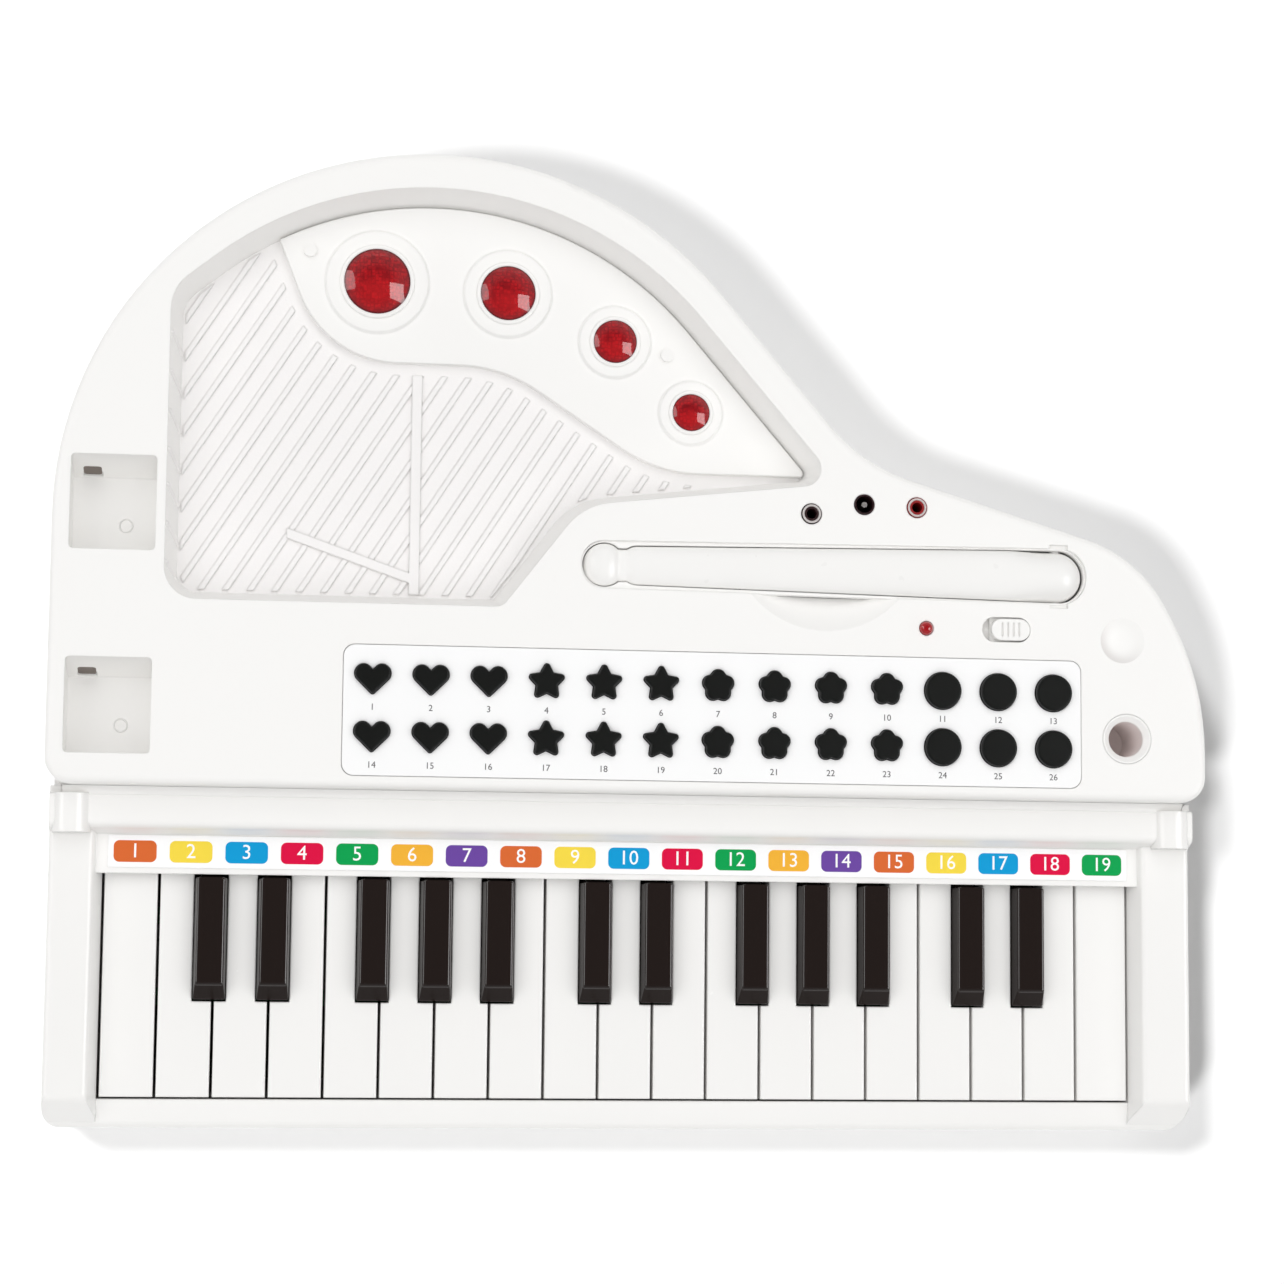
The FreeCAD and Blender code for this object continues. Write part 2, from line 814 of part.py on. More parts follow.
deck_screws = [
    (left + s.screw_from_left, deck_front + s.screw_mid_from_deck_front),
    (left + s.screw_from_left, deck_front + s.screw_rear_from_deck_front),
    (right - s.screw_from_right, deck_front + s.screw_right_from_deck_front),
    (left + s.screw_inner_from_left, deck_front + s.screw_inner_from_deck_front),
]
cheek_screws = [
    (left + s.cheek_screw_from_side, front + s.cheek_screw_from_front),
    (right - s.cheek_screw_from_side, front + s.cheek_screw_from_front),
]


def deck_plan(z):
    corners = [(left, deck_front, s.deck_corner_round), (right, deck_front, s.deck_corner_round)]
    return plan(corners + REAR_CORNERS, z)


def case_plan(z):
    corners = [(left, front, s.front_corner_round), (right, front, s.front_corner_round)]
    return plan(corners + REAR_CORNERS, z)


slope_tangent = trig("tan", s.well_rear_angle)
tail_tangent = trig("tan", s.tail_angle)
well_tail_x = (tip_y + tip_x * tail_tangent - slope_y + well_left * slope_tangent) / (
    tail_tangent + slope_tangent)
well_tail_y = slope_y + (well_tail_x - well_left) * slope_tangent


def well_plan(z):
    return plan([
        (well_left, well_front, s.well_front_round),
        (toe_x, well_front, s.well_toe_round),
        (step_x, step_y, s.well_step_round),
        (tip_x, tip_y, s.well_tip_round),
        (well_tail_x, well_tail_y, well_round),
        (well_left, slope_y, s.well_left_round),
    ], z)


def loft(low, high):
    solid = doc.addObject("Part::Loft", "Drafted")
    solid.Sections = [low, high]
    solid.Solid = True
    solid.Ruled = True
    return solid


def top_rounded(solid, alias):
    """Rounds every edge of a solid's top face; call after a recompute."""
    shape = solid.Shape
    top = shape.BoundBox.ZMax
    near = SIZES["overrun"] / 100
    radius = sheet.get(alias)
    rounded = doc.addObject("Part::Fillet", "Rounded")
    rounded.Base = solid
    rounded.Edges = [(number, radius, radius) for number, edge in enumerate(shape.Edges, 1)
                     if edge.BoundBox.ZMin > top - near]
    return rounded


# Deck cover
deck_block = extrude(deck_plan(s.parting_height), s.deck_top - s.parting_height)
doc.recompute()
deck_block = top_rounded(deck_block, "deck_edge_round")
deck_hollow = extrude(inset(deck_plan(s.parting_height), s.case_wall), deck_under - s.parting_height)
well_foot = well_plan(well_floor)
tub = loft(inset(well_foot, s.well_draft - s.well_wall), inset(well_plan(s.deck_top), -s.well_wall))
well = loft(inset(well_foot, s.well_draft), well_plan(s.deck_top))

pocket_x = (left + s.pocket_from_left, left + s.pocket_from_left + s.pocket_width)
pocket_low = s.deck_top - s.pocket_depth
pocket_tubs, pockets = [], []
for step in range(2):
    centre_y = deck_front + s.pocket_from_deck_front + s.pocket_pitch * step
    pocket_y = middle(centre_y, s.pocket_length)
    pocket_tubs.append(box((left, pocket_x[1] + s.pocket_wall),
                           (pocket_y[0] - s.pocket_wall, pocket_y[1] + s.pocket_wall),
                           (pocket_low - s.pocket_wall, s.deck_top)))
    slope_foot = pocket_y[1] - s.pocket_slope
    side = across([(pocket_y[0], pocket_low), (slope_foot, pocket_low), (pocket_y[1], s.deck_top),
                   (pocket_y[0], s.deck_top)], pocket_x[0], pocket_x[1])
    pockets.append(common(prism(rectangle(pocket_x, pocket_y, s.pocket_round), pocket_low, s.deck_top), side))
    slot_x = pocket_x[0] + s.pocket_slot_margin
    slot_z = pocket_low + s.pocket_slot_rise
    pockets.append(box((slot_x, slot_x + s.pocket_slot_length),
                       (slope_foot, pocket_y[1] + s.pocket_wall + s.overrun),
                       (slot_z, slot_z + s.pocket_slot_height)))

groove_low = prop_z - s.prop_thick_radius - s.prop_floor_gap
ball_x = step_x + s.prop_ball_from_step
thin_half = s.prop_ball_radius + s.prop_side_gap
thick_half = s.prop_thick_radius + s.prop_side_gap
groove_left = ball_x - thin_half
groove_right = prop_x + thick_half
GROOVE_CORNER_SHARE = 0.95


def groove_plan(z):
    thin_round = thin_half * GROOVE_CORNER_SHARE
    thick_round = thick_half * GROOVE_CORNER_SHARE
    return plan([
        (groove_left, prop_y - thin_half, thin_round),
        (groove_right, prop_y - thick_half, thick_round),
        (groove_right, prop_y + thick_half, thick_round),
        (groove_left, prop_y + thin_half, thin_round),
    ], z)


trough_low = groove_low - s.groove_wall
trough = extrude(inset(groove_plan(trough_low), -s.groove_wall), s.deck_top - trough_low)
groove = extrude(groove_plan(groove_low), s.deck_top - groove_low)
pin_reach = thick_half + s.prop_pin_reach + s.prop_pin_end_gap
pin_bore = bar(s.prop_pin_radius + s.prop_pin_clearance, prop_x, prop_y - pin_reach, prop_z,
               pin_reach * 2, "y")
pin_notch = box(middle(prop_x, s.prop_notch_width), middle(prop_y, (thick_half + s.prop_notch_reach) * 2),
                (s.deck_top - s.prop_notch_depth, s.deck_top + s.overrun))

scoop_x = prop_x - s.scoop_from_prop_pivot
scoop_y = prop_y + s.scoop_behind_prop
scoop_z = s.deck_top + root(s.scoop_ball_radius * s.scoop_ball_radius - s.scoop_radius * s.scoop_radius)


def scoop_part(radius):
    """Part of a ball in front of the stick and below the deck's top."""
    near = box((scoop_x - radius, scoop_x + radius), (scoop_y - radius, prop_y), (trough_low, s.deck_top))
    return common(ball(radius, scoop_x, scoop_y, scoop_z), near)


stand_low = s.deck_top - s.stand_bore_depth
stand_radius = s.stand_bore_radius + s.stand_wall
stand_tube = bar(stand_radius, stand_x, stand_y, stand_low - s.stand_wall, s.stand_bore_depth + s.stand_wall)
stand_hole = bar(stand_radius + s.stand_fit, stand_x, stand_y, deck_under - s.overrun,
                 s.deck_plate + s.overrun * 2)
stand_bore = bar(s.stand_bore_radius, stand_x, stand_y, stand_low, s.stand_bore_depth)
stand_flare = cone(s.stand_bore_radius, s.stand_flare_radius, stand_x, stand_y,
                   s.deck_top - s.stand_flare_depth, s.stand_flare_depth)
dish_ball = (s.dish_radius * s.dish_radius + s.dish_depth * s.dish_depth) / (s.dish_depth * 2)
dish = ball(dish_ball, right - s.dish_from_right, deck_front + s.dish_from_deck_front,
            s.deck_top - s.dish_depth + dish_ball)

panel_low = s.deck_top - s.panel_thickness
recess_plan = plan(rectangle(middle(panel_x, panel_width + s.panel_fit * 2),
                             middle(panel_y, panel_length + s.panel_fit * 2), s.panel_round), panel_low)
recess = extrude(recess_plan, s.panel_thickness)
window = prism(rectangle(middle(panel_x, panel_width - s.panel_ledge * 2),
                         middle(panel_y, panel_length - s.panel_ledge * 2), s.panel_round),
               deck_under - s.overrun, s.deck_top)
head_low = panel_low - s.button_flange_gap
stem_low = head_low - s.button_flange - s.button_stem
button_board_top = stem_low - s.button_travel - s.button_stop_gap
button_posts = [bar(s.button_board_post_radius, panel_x + (panel_width / 2 + s.button_post_reach) * side,
                    panel_y + s.button_post_pitch / 2 * end, button_board_top, s.deck_top - button_board_top)
                for side in (-1, 1) for end in (-1, 1)]
bosses = [bar(s.boss_radius, x, y, s.parting_height, s.deck_top - s.parting_height) for x, y in deck_screws]
boss_holes = [bar(s.screw_radius + s.screw_clearance, x, y, s.parting_height - s.overrun,
                  s.screw_seat + s.screw_length - s.parting_height + s.overrun * 2)
              for x, y in deck_screws]
jack_holes = [bar(s.jack_collar_radius + s.panel_fit, x, y, deck_under - s.overrun,
                  s.deck_plate + s.overrun * 2)
              for x, y in AUDIO_JACKS + [(dc_x, dc_y)]]
switch_slot = prism(rectangle(middle(switch_x, s.switch_slot_length), middle(switch_y, s.switch_slot_width),
                              s.switch_slot_width * STADIUM_SHARE),
                    deck_under - s.overrun, s.deck_top + s.overrun)
led_hole = bar(s.led_radius + s.led_hole_clearance, power_led_x, power_led_y, deck_under - s.overrun,
               s.deck_plate + s.overrun * 2)

inner_parts = fuse(tub, trough, scoop_part(s.scoop_ball_radius + s.groove_wall),
                   *pocket_tubs, *button_posts, *bosses)
deck_full = fuse(cut(deck_block, deck_hollow), common(inner_parts, deck_block))
node(cut(deck_full, well, groove, pin_bore, pin_notch, scoop_part(s.scoop_ball_radius), stand_hole,
         dish, recess, window, switch_slot, led_hole, *pockets, *boss_holes, *jack_holes), "deck_cover")
node(cut(stand_tube, stand_bore, stand_flare), "stand_sleeve")

# String plate: ribs like strings, iron frame bars, and spacers for the lamp board below
plate_low = well_floor - s.string_plate_thickness
plate_base = extrude(inset(well_plan(plate_low), s.well_draft - s.well_wall), s.string_plate_thickness)
field = extrude(inset(well_plan(plate_low), s.well_draft + s.string_clearance), s.well_depth)
string_run = trig("tan", s.string_angle)
string_reach = well_height / string_run


def body_at(x, y, z):
    body = doc.addObject("PartDesign::Body", "Body")
    place(body, x, y, z)
    return body


def body_sketch(body, role, height=0):
    """Sketch on one of a body's own origin planes, raised by a height."""
    sketch = body.newObject("Sketcher::SketchObject", "Outline")
    plane = [feature for feature in body.Origin.OriginFeatures if feature.Role == role]
    sketch.AttachmentSupport = (plane[0], [""])
    sketch.MapMode = "FlatFace"
    bind(sketch, "AttachmentOffset.Base.z", height)
    return sketch


def pad(body, sketch, length):
    feature = body.newObject("PartDesign::Pad", "Pad")
    feature.Profile = sketch
    bind(feature, "Length", length)
    return feature


def pocket(body, sketch, length, upward):
    """Cut upward out of a level sketch, or to both sides of an upright one."""
    feature = body.newObject("PartDesign::Pocket", "Pocket")
    feature.Profile = sketch
    if upward:
        feature.Reversed = True
    else:
        feature.SideType = "Symmetric"
    bind(feature, "Length", length)
    return feature


def soften(body, feature, alias):
    """Rounds the edges of the top face of a body's last feature; call after a recompute."""
    top = feature.Shape.BoundBox.ZMax
    near = SIZES["overrun"] / 100
    fillet = body.newObject("PartDesign::Fillet", "Rounded")
    fillet.Base = (feature, [f"Edge{number}" for number, edge in enumerate(feature.Shape.Edges, 1)
                             if edge.BoundBox.ZMin > top - near])
    bind(fillet, "Radius", getattr(s, alias))
    return fillet


relief_low = well_floor - s.string_plate_thickness / 2
rib_body = body_at(well_left - string_reach, well_front, relief_low)
rib_sketch = body_sketch(rib_body, "XY_Plane")
outline(rib_sketch, [(0, 0), (s.string_width, 0), (s.string_width + string_reach, well_height),
                     (string_reach, well_height)])
rib = pad(rib_body, rib_sketch, well_floor + s.string_height - relief_low)
strings = rib_body.newObject("PartDesign::LinearPattern", "Strings")
strings.Originals = [rib]
strings.Direction = (rib_sketch, ["H_Axis"])
string_count = math.ceil((well_width.value + string_reach.value) / SIZES["string_pitch"])
strings.Occurrences = string_count
bind(strings, "Length", s.string_pitch * (string_count - 1))
rib_body.Tip = strings

lamp_left = well_left + s.lamp_curve_left_from_well_left
lamp_high = rear - s.lamp_curve_top_from_rear
lamp_mid = well_left + s.lamp_curve_mid_from_well_left
lamp_turn = tip_x - s.lamp_curve_low_from_tip
lamp_low = tip_y + s.lamp_curve_low_above_tip
LAMP_CORNERS = [
    (well_left + s.lamp_curve_start_from_well_left, rear),
    (lamp_left, lamp_high, s.lamp_curve_left_round),
    (lamp_mid, lamp_high, s.lamp_curve_round),
    (lamp_turn, lamp_low, s.lamp_curve_round),
    (tip_x, lamp_low),
    (tip_x, rear),
]
lamp_area = plan(LAMP_CORNERS, well_floor)
string_limit = extrude(inset(plan(LAMP_CORNERS, plate_low), -s.string_end_gap), s.well_depth)
bar_x = well_left + s.plate_bar_from_well_left
bar_high = well_floor + s.plate_bar_height
brace_y = well_front + s.brace_low_from_well_front
plate_bars = fuse(
    box((bar_x, bar_x + s.plate_bar_width), (well_front, lamp_high), (relief_low, bar_high)),
    prism([(bar_x, brace_y), (bar_x, brace_y + s.plate_bar_width),
           (bar_x - s.brace_from_bar, brace_y + s.brace_rise + s.plate_bar_width),
           (bar_x - s.brace_from_bar, brace_y + s.brace_rise)], relief_low, bar_high),
    prism([(toe_x, well_front), (step_x, step_y), (step_x - s.plate_bar_width, step_y),
           (toe_x - s.plate_bar_width, well_front)], relief_low, bar_high))
relief = cut(common(fuse(rib_body, plate_bars), field), string_limit)
board_spacers = []
for first, second in ((0, 1), (2, 3)):
    board_spacers.append(bar(s.led_radius, (lenses[first][0] + lenses[second][0]) / 2,
                             (lenses[first][1] + lenses[second][1]) / 2, lamp_board_top,
                             s.lamp_board_gap + s.string_plate_thickness))
lamp_holes = [bar(s.lamp_hole_radius, x, y, plate_low - s.overrun, s.well_depth) for x, y, radius in lenses]
lamp_screw_holes = [bar(s.lamp_screw_radius + s.screw_clearance, x, y, plate_low - s.overrun, s.well_depth)
                    for x, y in lamp_screws]
node(cut(fuse(plate_base, relief, *board_spacers), *lamp_holes, *lamp_screw_holes), "string_plate")

# Lamp panel with a raised ring round each lens
well_clear = extrude(inset(well_plan(well_floor), s.well_draft + s.lamp_panel_clearance),
                     s.lamp_panel_thickness)
panel_plate = common(extrude(lamp_area, s.lamp_panel_thickness), well_clear)
lens_rings = []
for x, y, radius in lenses:
    inside = radius + s.lens_clearance
    outside = radius * (1 + LENS_RING_SHARE) + s.lens_ring_width
    ring_low = lamp_top - s.lens_ring_height
    ring_high = lamp_top + s.lens_ring_height
    lens_rings.append(turned([(inside, ring_low), (outside, ring_low), (outside, lamp_top),
                              (outside - s.lens_ring_slope, ring_high), (inside, ring_high)], x, y))
node(cut(fuse(panel_plate, *lens_rings), *lamp_holes, *lamp_screw_holes), "lamp_panel")

# Domed lenses, hollow inside
lens_solids = []
for x, y, radius in lenses:
    dome_high = radius * LENS_DOME_SHARE
    dome_ball = (radius * radius + dome_high * dome_high) / (dome_high * 2)
    dome_z = lamp_top + s.lens_rim + dome_high - dome_ball
    tall = s.lens_rim + dome_high
    whole = common(bar(radius, x, y, lamp_top, tall), ball(dome_ball, x, y, dome_z))
    hollow = common(bar(radius - s.lens_wall, x, y, lamp_top - s.overrun, tall),
                    ball(dome_ball - s.lens_wall, x, y, dome_z))
    lens_solids.append(cut(whole, hollow))
node(group(*lens_solids), "lamp_lenses")


def led(x, y, z, body_length):
    """Lamp with a flange at its foot and a round top."""
    return fuse(bar(s.led_flange_radius, x, y, z, s.led_flange),
                bar(s.led_radius, x, y, z, s.led_flange + body_length),
                ball(s.led_radius, x, y, z + s.led_flange + body_length))


lamp_leds = [led(x, y, lamp_board_top, s.led_body) for x, y, radius in lenses]
power_led = led(power_led_x, power_led_y, deck_under - s.led_flange, s.power_led_body)
node(group(power_led, *lamp_leds), "leds")

margin = s.lamp_board_margin
(x1, y1, r1), (x2, y2, r2), (x3, y3, r3), (x4, y4, r4) = lenses
lamp_board = prism([
    (x1 - margin, y2 - margin), (x2, y2 - margin), (x3 - margin, y4), (x4, y4 - margin),
    (x4 + margin, y4), (x3 + margin, y3 + margin), (x2, y2 + margin), (x1 - margin, y1 + margin),
], lamp_board_top - s.board_thickness, lamp_board_top)


# Buttons: heads of four shapes, each with a flange under the panel and a stem
def heart_corners(x, y):
    right_half = [(x + s.heart_width * a, y + s.heart_width * b, s.heart_width * r)
                  for a, b, r in HEART_SHARES]
    left_half = [(x - s.heart_width * a, y + s.heart_width * b, s.heart_width * r)
                 for a, b, r in HEART_SHARES[2:0:-1]]
    return right_half + left_half


def petal_corners(x, y, radius, shares):
    """Star or flower: outer and inner corners in turn, each rounded."""
    inner_share, tip_share, inner_round_share = shares
    corners = []
    for number in range(PETALS * 2):
        angle = math.radians(RIGHT_ANGLE + 180 / PETALS * number)
        reach = radius * (inner_share if number % 2 else 1)
        corners.append((x + reach * math.cos(angle), y + reach * math.sin(angle),
                        radius * (inner_round_share if number % 2 else tip_share)))
    return corners


def round_plan(x, y, z, radius):
    sketch = sketch_in("XY", z=z)
    ring(sketch, x, y, radius)
    return sketch


def head_plan(kind, x, y, z):
    if kind == "R":
        return round_plan(x, y, z, s.round_button_radius)
    if kind == "H":
        return plan(heart_corners(x, y), z)
    if kind == "S":
        return plan(petal_corners(x, y, s.star_radius, STAR_SHARES), z)
    return plan(petal_corners(x, y, s.flower_radius, FLOWER_SHARES), z)


def hole_plan(kind, x, y, z):
    """Outline of a head's hole in the panel."""
    if kind == "R":
        return round_plan(x, y, z, s.round_button_radius + s.button_clearance)
    return inset(head_plan(kind, x, y, z), -s.button_clearance)


button_y = panel_y + s.button_row_shift
buttons, button_holes = {kind: [] for kind in "HSFR"}, []
for column, kind in enumerate(BUTTON_COLUMNS):
    x = panel_x + s.button_pitch * (column - (len(BUTTON_COLUMNS) - 1) / 2)
    for row in BUTTON_ROWS:
        y = button_y + s.button_row_pitch / 2 * row
        head = extrude(head_plan(kind, x, y, head_low), s.deck_top + s.button_proud - head_low)
        buttons[kind].append((head, x, y))
        button_holes.append(extrude(hole_plan(kind, x, y, panel_low - s.overrun),
                                    s.panel_thickness + s.overrun * 2))
doc.recompute()
for kind, name in (("H", "heart"), ("S", "star"), ("F", "flower"), ("R", "round")):
    pushers = []
    for head, x, y in buttons[kind]:
        pushers.append(fuse(top_rounded(head, "button_round"),
                            bar(s.button_flange_radius, x, y, head_low - s.button_flange, s.button_flange),
                            bar(s.button_stem_radius, x, y, stem_low, s.button_stem + s.button_flange)))
    node(group(*pushers), f"buttons_{name}")
panel_blank = prism(rectangle(middle(panel_x, panel_width), middle(panel_y, panel_length), s.panel_round),
                    panel_low, s.deck_top)
node(cut(panel_blank, *button_holes), "button_panel")
button_board = box(middle(panel_x, panel_width + s.button_board_reach * 2),
                   middle(panel_y, s.button_board_length),
                   (button_board_top - s.board_thickness, button_board_top))
node(group(lamp_board, button_board), "upper_boards")

# Stick that props the lid, pivoted at its thick end
stick_x = ball_x + s.prop_ball_radius + s.prop_neck_length
lid_prop = fuse(
    cone(s.prop_thin_radius, s.prop_thick_radius, stick_x, prop_y, prop_z, prop_x - stick_x, "x"),
    ball(s.prop_thin_radius, stick_x, prop_y, prop_z),
    bar(s.prop_neck_radius, ball_x, prop_y, prop_z, stick_x - ball_x, "x"),
    ball(s.prop_ball_radius, ball_x, prop_y, prop_z),
    ball(s.prop_thick_radius, prop_x, prop_y, prop_z),
    bar(s.prop_pin_radius, prop_x, prop_y - thick_half - s.prop_pin_reach, prop_z,
        (thick_half + s.prop_pin_reach) * 2, "y"))
node(lid_prop, "lid_prop")


# Sockets under the deck, each with a collar through it
def jack(x, y, bore_radius):
    low = deck_under - s.jack_body_depth
    whole = fuse(box(middle(x, s.jack_body_width), middle(y, s.jack_body_width), (low, deck_under)),
                 bar(s.jack_collar_radius, x, y, low, s.jack_body_depth + s.deck_plate + s.jack_proud))
    return cut(whole, bar(bore_radius, x, y, low + s.jack_floor, s.jack_body_depth + s.deck_plate))


node(group(*[jack(x, y, s.jack_bore_radius) for x, y in AUDIO_JACKS]), "audio_jacks")
dc_low = deck_under - s.jack_body_depth
node(fuse(jack(dc_x, dc_y, s.dc_bore_radius),
          bar(s.dc_pin_radius, dc_x, dc_y, dc_low, s.jack_body_depth + s.deck_plate)), "dc_jack")

# Slide switch: cap with a flange under the deck and a foot in the switch body
slider_high = switch_x + s.switch_slot_length / 2 - s.slider_end_gap
slider_x = slider_high - s.slider_length / 2
flange_top = deck_under - s.slider_flange_gap
foot_top = flange_top - s.slider_flange
slider_cap = prism(rectangle(middle(slider_x, s.slider_length), middle(switch_y, s.slider_width),
                             s.slider_width * STADIUM_SHARE), foot_top, s.deck_top + s.slider_proud)
grips = [box(middle(slider_x + s.slider_grip_pitch * step, s.slider_grip_depth),
             middle(switch_y, s.slider_grip_length),
             (s.deck_top + s.slider_proud - s.slider_grip_depth, s.deck_top + s.slider_proud + s.overrun))
         for step in GRIP_STEPS]
slider_whole = fuse(slider_cap,
                    box(middle(slider_x, s.slider_length), middle(switch_y, s.slider_flange_width),
                        (foot_top, flange_top)),
                    box(middle(slider_x, s.slider_foot_length), middle(switch_y, s.slider_foot_width),
                        (foot_top - s.slider_foot_depth, foot_top)))
node(cut(slider_whole, *grips), "power_slider")
channel_low = foot_top - s.slider_foot_gap
switch_block = box(middle(switch_x, s.switch_slot_length + s.switch_body_margin * 2),
                   middle(switch_y, s.switch_slot_width + s.switch_body_margin * 2),
                   (deck_under - s.switch_body_height, deck_under))
channel = box(middle(switch_x, s.switch_slot_length),
              middle(switch_y, s.slider_flange_width + s.slider_flange_gap * 2),
              (channel_low, deck_under + s.overrun))
foot_channel = box((slider_x - s.slider_foot_length / 2 - s.slider_travel - s.slider_end_gap,
                    slider_x + s.slider_foot_length / 2 + s.slider_end_gap),
                   middle(switch_y, s.slider_foot_width + s.slider_foot_gap * 2),
                   (foot_top - s.slider_foot_depth - s.slider_foot_gap, deck_under))
node(cut(switch_block, channel, foot_channel), "switch_body")

# Keyboard frame: cheeks, key slip, strip ledge and fallboard bar in one moulding
frame_left = left + s.cheek_inset
frame_right = right - s.cheek_inset
ledge_low = s.ledge_top - s.ledge_plate
ledge_rear = key_rear + s.ledge_depth
bar_front = ledge_rear + s.bar_front_slope
bar_rear = deck_front - s.bar_groove_width
slip_rear = key_front - s.key_front_gap
rail = across([(key_rear, ledge_low), (deck_front, ledge_low),
               (deck_front, s.bar_top - s.bar_groove_depth), (bar_rear, s.bar_top - s.bar_groove_depth),
               (bar_rear, s.bar_top, s.bar_rear_round), (bar_front, s.bar_top, s.bar_round),
               (ledge_rear, s.ledge_top), (key_rear, s.ledge_top)], frame_left, frame_right)
rail_hollow = box((keyboard_left, keyboard_right), (bar_front + s.bar_wall, bar_rear - s.bar_wall),
                  (ledge_low - s.overrun, s.bar_top - s.bar_wall))
slip = across([(front, s.parting_height), (slip_rear, s.parting_height),
               (slip_rear, s.slip_top, s.key_edge_round), (front, s.slip_top - s.slip_drop, s.slip_round)],
              frame_left, frame_right)
slip_hollow = box((keyboard_left, keyboard_right), (front + s.bar_wall, slip_rear - s.bar_wall),
                  (s.parting_height - s.overrun, s.slip_top - s.slip_drop - s.bar_wall))
cheek_side = across([(front, s.parting_height), (deck_front, s.parting_height), (deck_front, s.cheek_top),
                     (slip_rear, s.cheek_top, s.cheek_nose_round),
                     (front, s.cheek_nose_height, s.cheek_nose_round)], frame_left, frame_right)
cheeks, cheek_hollows, blocks = [], [], []
for low, high, edge in ((frame_left, keyboard_left, -1), (keyboard_right, frame_right, 1)):
    slope_low = s.cheek_top - s.cheek_slope_drop
    profile = [(low, s.parting_height), (high, s.parting_height)]
    if edge < 0:
        profile += [(high, slope_low), (high - s.cheek_slope, s.cheek_top, s.cheek_round),
                    (low, s.cheek_top, s.cheek_round)]
    else:
        profile += [(high, s.cheek_top, s.cheek_round), (low + s.cheek_slope, s.cheek_top, s.cheek_round),
                    (low, slope_low)]
    cheeks.append(along(profile, front, deck_front))
    cheek_hollows.append(box((low + s.bar_wall + s.cheek_slope, high - s.bar_wall - s.cheek_slope),
                             (slip_rear, bar_front),
                             (s.parting_height - s.overrun, s.cheek_top - s.bar_wall)))
    block_outer = (right - s.block_from_edge) * edge
    block_inner = (right - s.block_from_edge - s.block_width) * edge
    block = (block_outer, block_inner) if edge < 0 else (block_inner, block_outer)
    blocks.append(along([(block[0], s.ledge_top), (block[1], s.ledge_top),
                         (block[1], s.bar_top + s.block_rise, s.block_width * BLOCK_ROUND_SHARE),
                         (block[0], s.bar_top + s.block_rise, s.block_width * BLOCK_ROUND_SHARE)],
                        ledge_rear, bar_rear))
frame_plan = prism([(frame_left, front, s.front_corner_round), (frame_right, front, s.front_corner_round),
                    (frame_right, deck_front), (frame_left, deck_front)],
                   s.parting_height, s.deck_top)
cheek_bosses = [bar(s.boss_radius, x, y, s.parting_height, s.cheek_top - s.parting_height - s.cheek_round)
                for x, y in cheek_screws]
cheek_holes = [bar(s.screw_radius + s.screw_clearance, x, y, s.parting_height - s.overrun,
                   s.screw_seat + s.screw_length - s.parting_height + s.overrun * 2) for x, y in cheek_screws]
frame_whole = fuse(cut(common(fuse(*cheeks), cheek_side), *cheek_hollows), cut(rail, rail_hollow),
                   cut(slip, slip_hollow), *blocks, *cheek_bosses)
node(cut(common(frame_whole, frame_plan), *cheek_holes), "keyboard_frame")
strip_y = key_rear + s.strip_margin
node(prism(rectangle((keyboard_left + s.strip_margin, keyboard_right - s.strip_margin),
                     (strip_y, strip_y + s.strip_width), s.key_edge_round),
           s.ledge_top, s.ledge_top + s.strip_thickness), "note_strip")

# Keys: each a hollow moulding with an eye on the pivot rod and a pusher rib over its rubber dome
key_depth = pivot_y + s.key_eye_radius - key_front
black_front = key_rear - s.black_rear_gap - s.black_length
notch = black_front - s.black_front_gap - key_front
eye_from = key_depth - s.key_eye_length
dip = trig("sin", s.key_dip_angle)
half_key = (s.key_pitch - s.key_gap) / 2
half_black = s.black_width / 2
BLACK_SHIFTS = {"C": -s.black_pair_shift, "D": s.black_pair_shift, "F": -s.black_triple_shift,
                "G": as_size(0), "A": s.black_triple_shift}


def key_x(number):
    """Middle of a white key, counted from zero."""
    return keyboard_x + s.key_pitch * (number - (key_count - 1) / 2)


blacks = {number: key_x(number) + s.key_pitch / 2 + BLACK_SHIFTS[note]
          for number, note in enumerate(WHITE_NOTES[:-1]) if note in BLACK_FOLLOWS}
white_bodies, black_bodies, dome_places = [], [], []
white_pusher = pivot_y - s.white_pusher_from_pivot - key_front
for number in range(key_count):
    x = key_x(number)
    before, after = blacks.get(number - 1), blacks.get(number)
    low = -half_key if before is None else before + half_black + s.black_side_gap - x
    high = half_key if after is None else after - half_black - s.black_side_gap - x
    body = body_at(x, key_front, s.key_bottom)
    corners = [(-half_key, 0), (half_key, 0)]
    if after is not None:
        corners += [(half_key, notch), (high, notch)]
    corners += [(high, eye_from), (high - s.key_eye_inset, eye_from), (high - s.key_eye_inset, key_depth),
                (low + s.key_eye_inset, key_depth), (low + s.key_eye_inset, eye_from), (low, eye_from)]
    if before is not None:
        corners += [(low, notch), (-half_key, notch)]
    sketch = body_sketch(body, "XY_Plane")
    outline(sketch, corners)
    block = pad(body, sketch, s.key_top - s.key_bottom)
    shank = (low + s.key_wall, high - s.key_wall)
    rooms = [((-half_key + s.key_wall, half_key - s.key_wall), (s.key_wall, notch - s.key_wall)),
             (shank, (notch + s.key_wall, white_pusher - s.pusher_thickness / 2)),
             (shank, (white_pusher + s.pusher_thickness / 2, eye_from))]
    white_bodies.append((body, block, rooms, f"white_key_{number + 1:02d}"))
    dome_places.append((x + (low + high) / 2, pivot_y - s.white_pusher_from_pivot,
                        s.key_bottom - s.white_pusher_from_pivot * dip - s.rubber_gap))
black_depth = pivot_y + s.key_eye_radius - black_front
